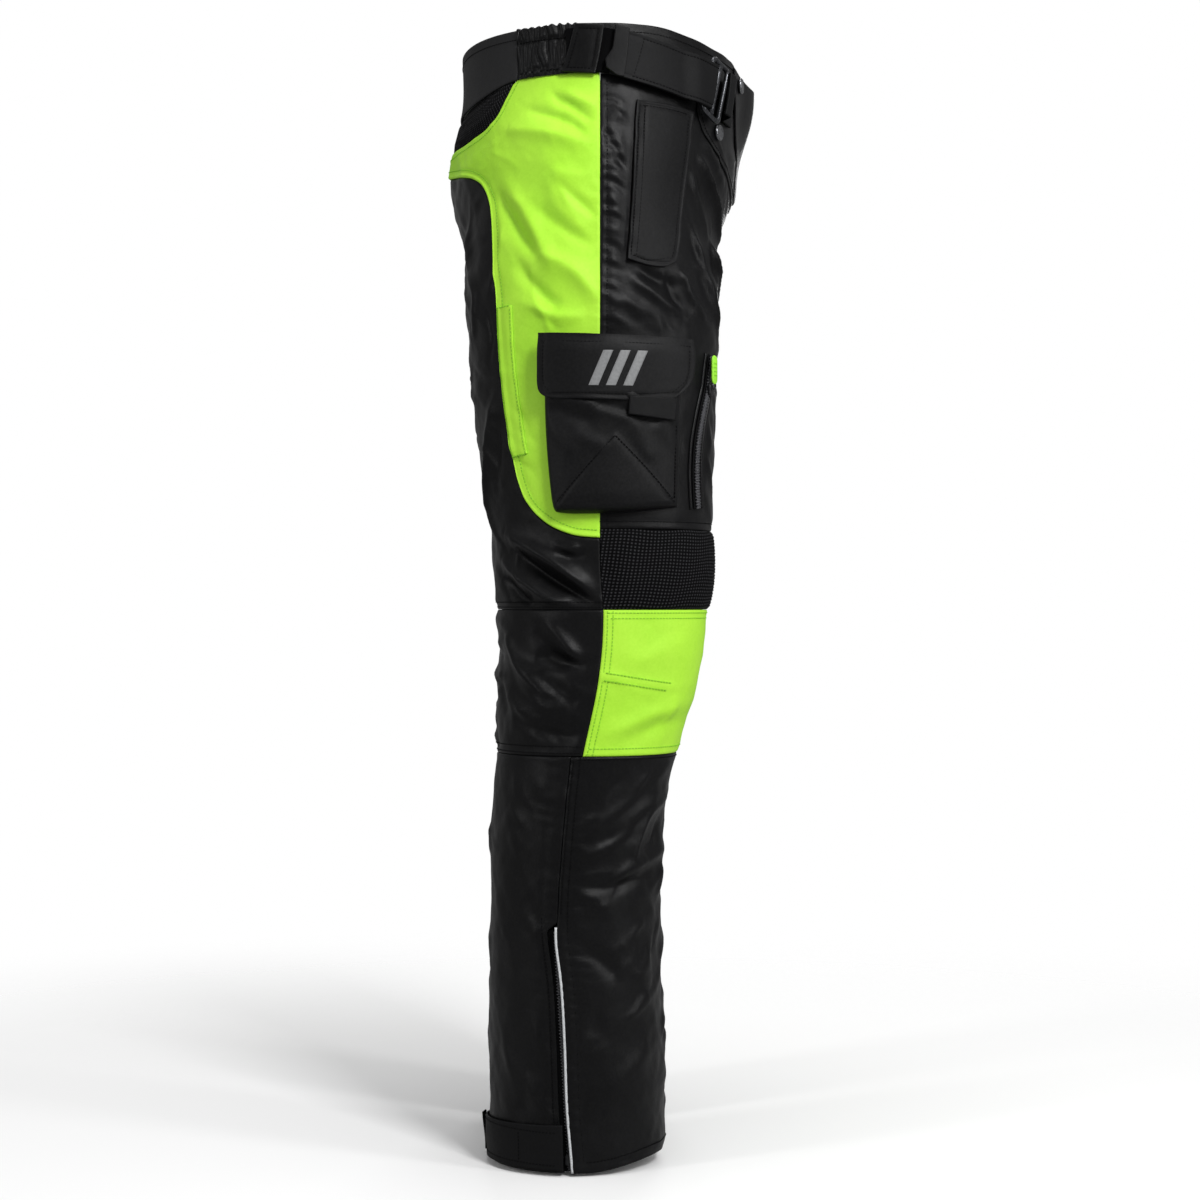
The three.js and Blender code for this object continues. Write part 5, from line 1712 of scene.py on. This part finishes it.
def turned(profile_points, count=28):
    """A closed turned solid from (radius, height) points that start and end on the axis."""
    points, faces = [], []
    for r, h in profile_points[1:-1]:
        for k in range(count):
            a = 2 * math.pi * k / count
            points.append((r * math.cos(a), r * math.sin(a), h))
    rings = len(profile_points) - 2
    for r in range(rings - 1):
        faces += [[r * count + k, r * count + (k + 1) % count, (r + 1) * count + (k + 1) % count,
                   (r + 1) * count + k] for k in range(count)]
    points += [(0, 0, profile_points[0][1]), (0, 0, profile_points[-1][1])]
    low, high = len(points) - 2, len(points) - 1
    faces += [[low, (k + 1) % count, k] for k in range(count)]
    faces += [[high, (rings - 1) * count + k, (rings - 1) * count + (k + 1) % count] for k in range(count)]
    return np.array(points, float), faces


SNAP = [(0, 0), (6.6, 0), (7.7, 0.7), (8.0, 1.7), (7.5, 2.8), (6.6, 3.4), (5.8, 3.1), (5.0, 2.7),
        (2.4, 2.9), (0, 3.0)]
for name, place, height, body in (("snap_upper", at_front(51, 1028), fly_height, "fly_flap"),
                                  ("snap_lower", at_front(106, 972), crossover_height, "waist")):
    points, faces = turned(SNAP)
    points = placed(points, place, float(height(*place)) + 0.2)
    single(name, (points, faces), SNAP_METAL, body, name)


def fly_line(t):
    return at_front(0 * np.asarray(t, float), mix(FLY_LOW + 8, WAIST_LOW - 8, np.asarray(t, float)))


def straightened(points):
    """The fly zip runs straight from end to end, so that its slider can."""
    low, high = fly_line(0.0), fly_line(1.0)
    z = np.clip(points[:, 2], low[1], high[1])
    middle = at_front(0 * z, z)
    chord = mix(section(*low)[0], section(*high)[0], (z - low[1]) / (high[1] - low[1]))
    moved = np.array(points)
    moved[:, 0] += chord - section(middle[:, 0], z)[0]
    return moved


sheet = Sheet(strip(fly_line, 17.0), 3.0)
points, faces, uv = sheet.solid(-7.2, 0.8)
single("fly_tape", (straightened(points), faces, uv), LINING, "waist", "fly_zip")
teeth_points, teeth_faces = coil(fly_line, level(-7.0), 5.0, 1.7)
single("fly_coil", (straightened(teeth_points), teeth_faces), COIL, "waist")
points, faces = slab(rounded_loop(8, 12, 2.5), 3.4, 0.7)
single("fly_slider", (placed(points, (CENTRE, WAIST_LOW - 18), -5.2), faces), METAL, "fly_slider",
       "fly_slider")

# ---- hanging loop inside the back ----
low_corner, high_corner = (np.array(v) * 1000 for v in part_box("hanger_loop"))
mid_z = (low_corner[2] + high_corner[2]) / 2
loop_curve = []
for t in np.linspace(-1, 1, 33):
    reach = low_corner[0] + (high_corner[0] - low_corner[0] - 1.0) * (1 - abs(t) ** 6)
    loop_curve.append((reach, t * (high_corner[1] - 1.2), mid_z))
loop_curve = np.array(loop_curve)
across = np.gradient(loop_curve, axis=0)
across /= np.linalg.norm(across, axis=1, keepdims=True)
facing_in = np.stack([across[:, 1], -across[:, 0], 0 * across[:, 0]], -1)
half_tall = (high_corner[2] - low_corner[2]) / 2
heights = np.linspace(-1, 1, 5)
front_face = np.stack([loop_curve + facing_in * 0.7 + np.array([0, 0, h * half_tall]) for h in heights])
rear_face = np.stack([loop_curve - facing_in * 0.7 + np.array([0, 0, h * half_tall]) for h in heights])
single("hanger_loop", shell_mesh(front_face, rear_face), STRAP, "waist", "hanger_loop")

# ---- stitching ----


def shifted_x(points, dx):
    return side([(x + dx, z) for x, z in points])


def stitches(name, thread, place, slot, rows):
    """Rows of stitches on both sides: each is a curve, its height, and its first and last share."""
    seam = Stitching()
    for row in rows:
        seam.row(*row)
    both(name, seam.data(), thread, place, slot=slot, shade=False)


def across_strip(share, reach):
    """A short line across the facing strip, from its rear edge inwards."""
    return line(strip_path(np.array([share]))[0], parallel(strip_path, reach)(np.array([share]))[0])


stitches("thigh_stitches", THREAD, hip_blend, "shell", [
    (upright(6.5, STRETCH_TOP + 3, WAIST_LOW - 4), 0.0, 0.0, 1.0, 3.6),
    (line((INSEAM + 4, STRETCH_TOP + 7), at_x(-1, STRETCH_TOP + 7)),),
    (line(at_x(1, KNEE_HIGH + 7), (REAR_INSEAM - 3, KNEE_HIGH + 7)),),
    (line(at_x(1, KNEE_HIGH + 2.4), (REAR_INSEAM - 3, KNEE_HIGH + 2.4)),),
])
stitches("side_stitches", GREEN_THREAD, hip_blend, "bright_panel", [
    (parallel(green_below, 7.0), 0.6, 0.01, 0.985),
    (parallel(piece_of(green_above, 7.6 / 14, 1), -6.0), 0.6, 0.02, 0.98),
    (parallel(strip_path, 16.4), 1.9), (across_strip(0.0, 17.5), 1.9), (across_strip(1.0, 17.5), 1.9),
])
stitches("knee_stitches", THREAD, knee_blend, "shell", [
    (line(at_x(-18, KNEE_LOW + 3), (REAR_INSEAM - 3, KNEE_LOW + 3)),),
    (line(at_x(-16, KNEE_LOW + 9), (REAR_INSEAM - 3, KNEE_LOW + 9)),),
])
stitches("knee_bright_stitches", GREEN_THREAD, knee_blend, "bright_panel", [
    (shifted_x(OUTSEAM_KNEE, 4.0), 0.5), (shifted_x(OUTSEAM_KNEE, 9.0), 0.5),
    (line((INSEAM + 3, KNEE_HIGH - 3), at_x(6, KNEE_HIGH - 3)), 0.5),
    (line((INSEAM + 3, KNEE_HIGH - 8), at_x(6, KNEE_HIGH - 8)), 0.5),
    (line((INSEAM + 3, KNEE_LOW + 7), at_x(-12, KNEE_LOW + 7)), 0.5),
    (parallel(dart, 3.6), 1.4, 0.14, 0.93), (parallel(dart, -3.6), 1.4, 0.14),
])
stitches("shin_stitches", THREAD, on("{}_shin"), "shell",
         [(beside_outseam(9.0), 0.3), (beside_outseam(3.0), 0.3, 0.62),
          (beside_outseam(-ZIP_SLOT - 5.0), 0.1, 0.02, 0.62),
          (hem_line(INSEAM + 3, at_x(-22, 10)[0], 10.0), 0.4),
          (line(at_x(-37, 10), (REAR_INSEAM - 3, 10)), 0.2),
          (line((INSEAM + 3, KNEE_LOW - 3), at_x(-24, KNEE_LOW - 3)), 0.1),])
pocket_rows = [(line(at_x(APEX[0], APEX[1] - 5), at_x(x * 0.96, z + 3)), pocket_height) for x, z in FEET]
pocket_rows.append((line(at_x(62, 620), at_x(64, 700)), pocket_height))
stitches("pocket_stitches", THREAD, on("{}_thigh"), "shell", pocket_rows)


def on_flap(u, z):
    return flap_height(u, z) - 0.35


def on_hip(u, z):
    return hip_height(u, z) - 0.3


def on_strap(u, z):
    return strap_height(u, z) - 0.25


def on_ankle(u, z):
    return ankle_height(u, z) - 0.1


stitches("flap_stitches", THREAD, flap_blend, "shell", [
    (line(at_x(-50, 763), at_x(75, 760)), on_flap),
    (side([(-47, 763), (-47, 740), (-46, 724), (-40, 716)]), on_flap),
    (side([(-40, 716), (-18, 715.5), (22, 714.5), (58, 717)]), on_flap),
    (side([(58, 717), (69, 729), (72, 745), (72, 760)]), on_flap),
])
stitches("hip_flap_stitches", THREAD, hip_flap_blend, "shell", [
    (side([(27, 842), (32, 915), (36, 985)]), on_hip), (side([(32, 842), (37, 915), (41, 985)]), on_hip),
    (side([(59, 842), (66, 850), (73, 915), (81, 981)]), on_hip),
    (side([(29, 843), (44, 839), (59, 842)]), on_hip), (side([(38, 983), (60, 982), (80, 980)]), on_hip),
])


def elastic_row(down):
    return lambda t: at_x(mix(-21, -76, np.asarray(t, float)), WAIST_TOP - down)


front_band = band_edges(elastic_front, band_front)
stitches("waist_stitches", THREAD, on("waist"), "shell", [
    (parallel(crossover_low, -5.0), crossover_height, 0.05, 0.95),
    (parallel(front_band["high"], 8.0), 1.8), (parallel(front_band["low"], -4.0), 1.8, 0.0, 0.9),
    (elastic_row(13), level(2.3)), (elastic_row(42), level(2.3)),
] + [(parallel(patch_edges[edge], inward), level(6.4), 0.12, 0.88)
     for edge, inward in (("low", -4.6), ("high", 4.6), ("start", 4.6), ("end", -4.6))])
back_seam = Stitching()
back_seam.row(parallel(band_edges(elastic_rear, opposite)["high"], -9.0), level(1.7))
single("back_band_stitches", back_seam.data(), THREAD, "waist", shade=False)

sewn_strap = strap_path(32, 98)
strap_end = [parallel(sewn_strap, gap)(np.array([0.02]))[0] for gap in (-17, 17)]
stitches("strap_stitches", THREAD, strap_blend, "webbing",
         [(parallel(sewn_strap, -18.4), on_strap), (parallel(sewn_strap, 18.4), on_strap),
          (line(*strap_end), on_strap),])
u0, u1 = at_x(-40, 20)[0], 183.0
stitches("ankle_stitches", THREAD, ankle_blend, "webbing", [
    (line((u0, 7.5), (u1, 9.0)), on_ankle), (line((u0, 37.5), (u1, 39.0)), on_ankle),
    (line((u0 + 26, 9), (u0 + 26, 37)), on_ankle), (line((u1, 9), (u1, 37)), on_ankle),
])

# ---- stage ----


def area(name, at, look, size, power):
    data = bpy.data.lights.new(name, "AREA")
    data.shape = "RECTANGLE"
    data.size, data.size_y = size
    data.energy = power
    lamp = bpy.data.objects.new(name, data)
    lamp.location = at
    lamp.rotation_euler = (Vector(look) - Vector(at)).to_track_quat("-Z", "Y").to_euler()
    bpy.context.scene.collection.objects.link(lamp)


FLOOR_HALF, FLOOR_GAP = 6, 0.003  # m
floor_mesh = bpy.data.meshes.new("floor")
floor_mesh.from_pydata([(x * FLOOR_HALF, y * FLOOR_HALF, 0) for x, y in ((-1, -1), (1, -1), (1, 1), (-1, 1))],
                       [], [(0, 1, 2, 3)])
floor = bpy.data.objects.new("floor", floor_mesh)
floor.location.z = -FLOOR_GAP
bpy.context.scene.collection.objects.link(floor)
floor_look = Shader("pale_floor", 0.9)
seen = floor_look.node("ShaderNodeLightPath").outputs["Is Camera Ray"]
floor_look.colour(floor_look.ramp(seen, [(0.0, (0.4, 0.4, 0.4)), (1.0, (0.92, 0.92, 0.92))]))
reach = floor_look.node("ShaderNodeVectorMath")
reach.operation = "LENGTH"
floor_look.link(floor_look.coordinates.outputs["Object"], reach.inputs[0])
fade = floor_look.node("ShaderNodeMapRange", From_Min=0.45, From_Max=1.5)
fade.interpolation_type = "SMOOTHSTEP"
floor_look.link(reach.outputs["Value"], fade.inputs["Value"])
blended = floor_look.node("ShaderNodeMixShader")
floor_look.link(fade.outputs["Result"], blended.inputs["Fac"])
floor_look.link(floor_look.bsdf.outputs["BSDF"], blended.inputs[1])
floor_look.link(floor_look.node("ShaderNodeBsdfTransparent").outputs["BSDF"], blended.inputs[2])
floor_look.link(blended.outputs["Shader"], floor_look.nodes["Material Output"].inputs["Surface"])
floor_mesh.materials.append(floor_look.material)


def studio_world(seen, lit):
    """A white backdrop for the camera, and a dimmer one as a light."""
    world = bpy.data.worlds.new("studio")
    world.use_nodes = True
    tree = world.node_tree
    background = tree.nodes["Background"]
    background.inputs["Color"].default_value = (1, 1, 1, 1)
    rays = tree.nodes.new("ShaderNodeLightPath")
    power = tree.nodes.new("ShaderNodeMapRange")
    power.inputs["To Min"].default_value = lit
    power.inputs["To Max"].default_value = seen
    tree.links.new(rays.outputs["Is Camera Ray"], power.inputs["Value"])
    tree.links.new(power.outputs["Result"], background.inputs["Strength"])
    bpy.context.scene.world = world


studio_world(1.0, 0.3)
area("key", (1.2, -2.4, 2.5), (0.05, 0, 0.75), (0.7, 1.0), 73)
area("front", (2.0, -1.3, 1.2), (0.08, 0, 0.7), (0.4, 1.4), 17)
area("back", (-2.2, -1.5, 1.3), (-0.05, 0, 0.6), (0.35, 1.6), 14)
area("far", (0.2, 2.4, 1.6), (0, 0, 0.6), (1.2, 1.4), 24)
area("top", (0.0, -0.3, 2.9), (0, 0, 0.7), (1.4, 0.9), 16)

SENSOR_WIDTH, LENS = 36.0, 71.6  # mm
CAMERA_AWAY, CAMERA_HEIGHT = 2.38, 0.527  # m
camera_data = bpy.data.cameras.new("camera")
camera_data.sensor_width = SENSOR_WIDTH
camera_data.lens = LENS
camera = bpy.data.objects.new("camera", camera_data)
camera.location = (0.0, -CAMERA_AWAY, CAMERA_HEIGHT)
camera.rotation_euler = (math.radians(90), 0, 0)
bpy.context.scene.collection.objects.link(camera)
bpy.context.scene.camera = camera
bpy.context.scene.view_settings.view_transform = "Standard"
bpy.context.scene.view_settings.look = "None"
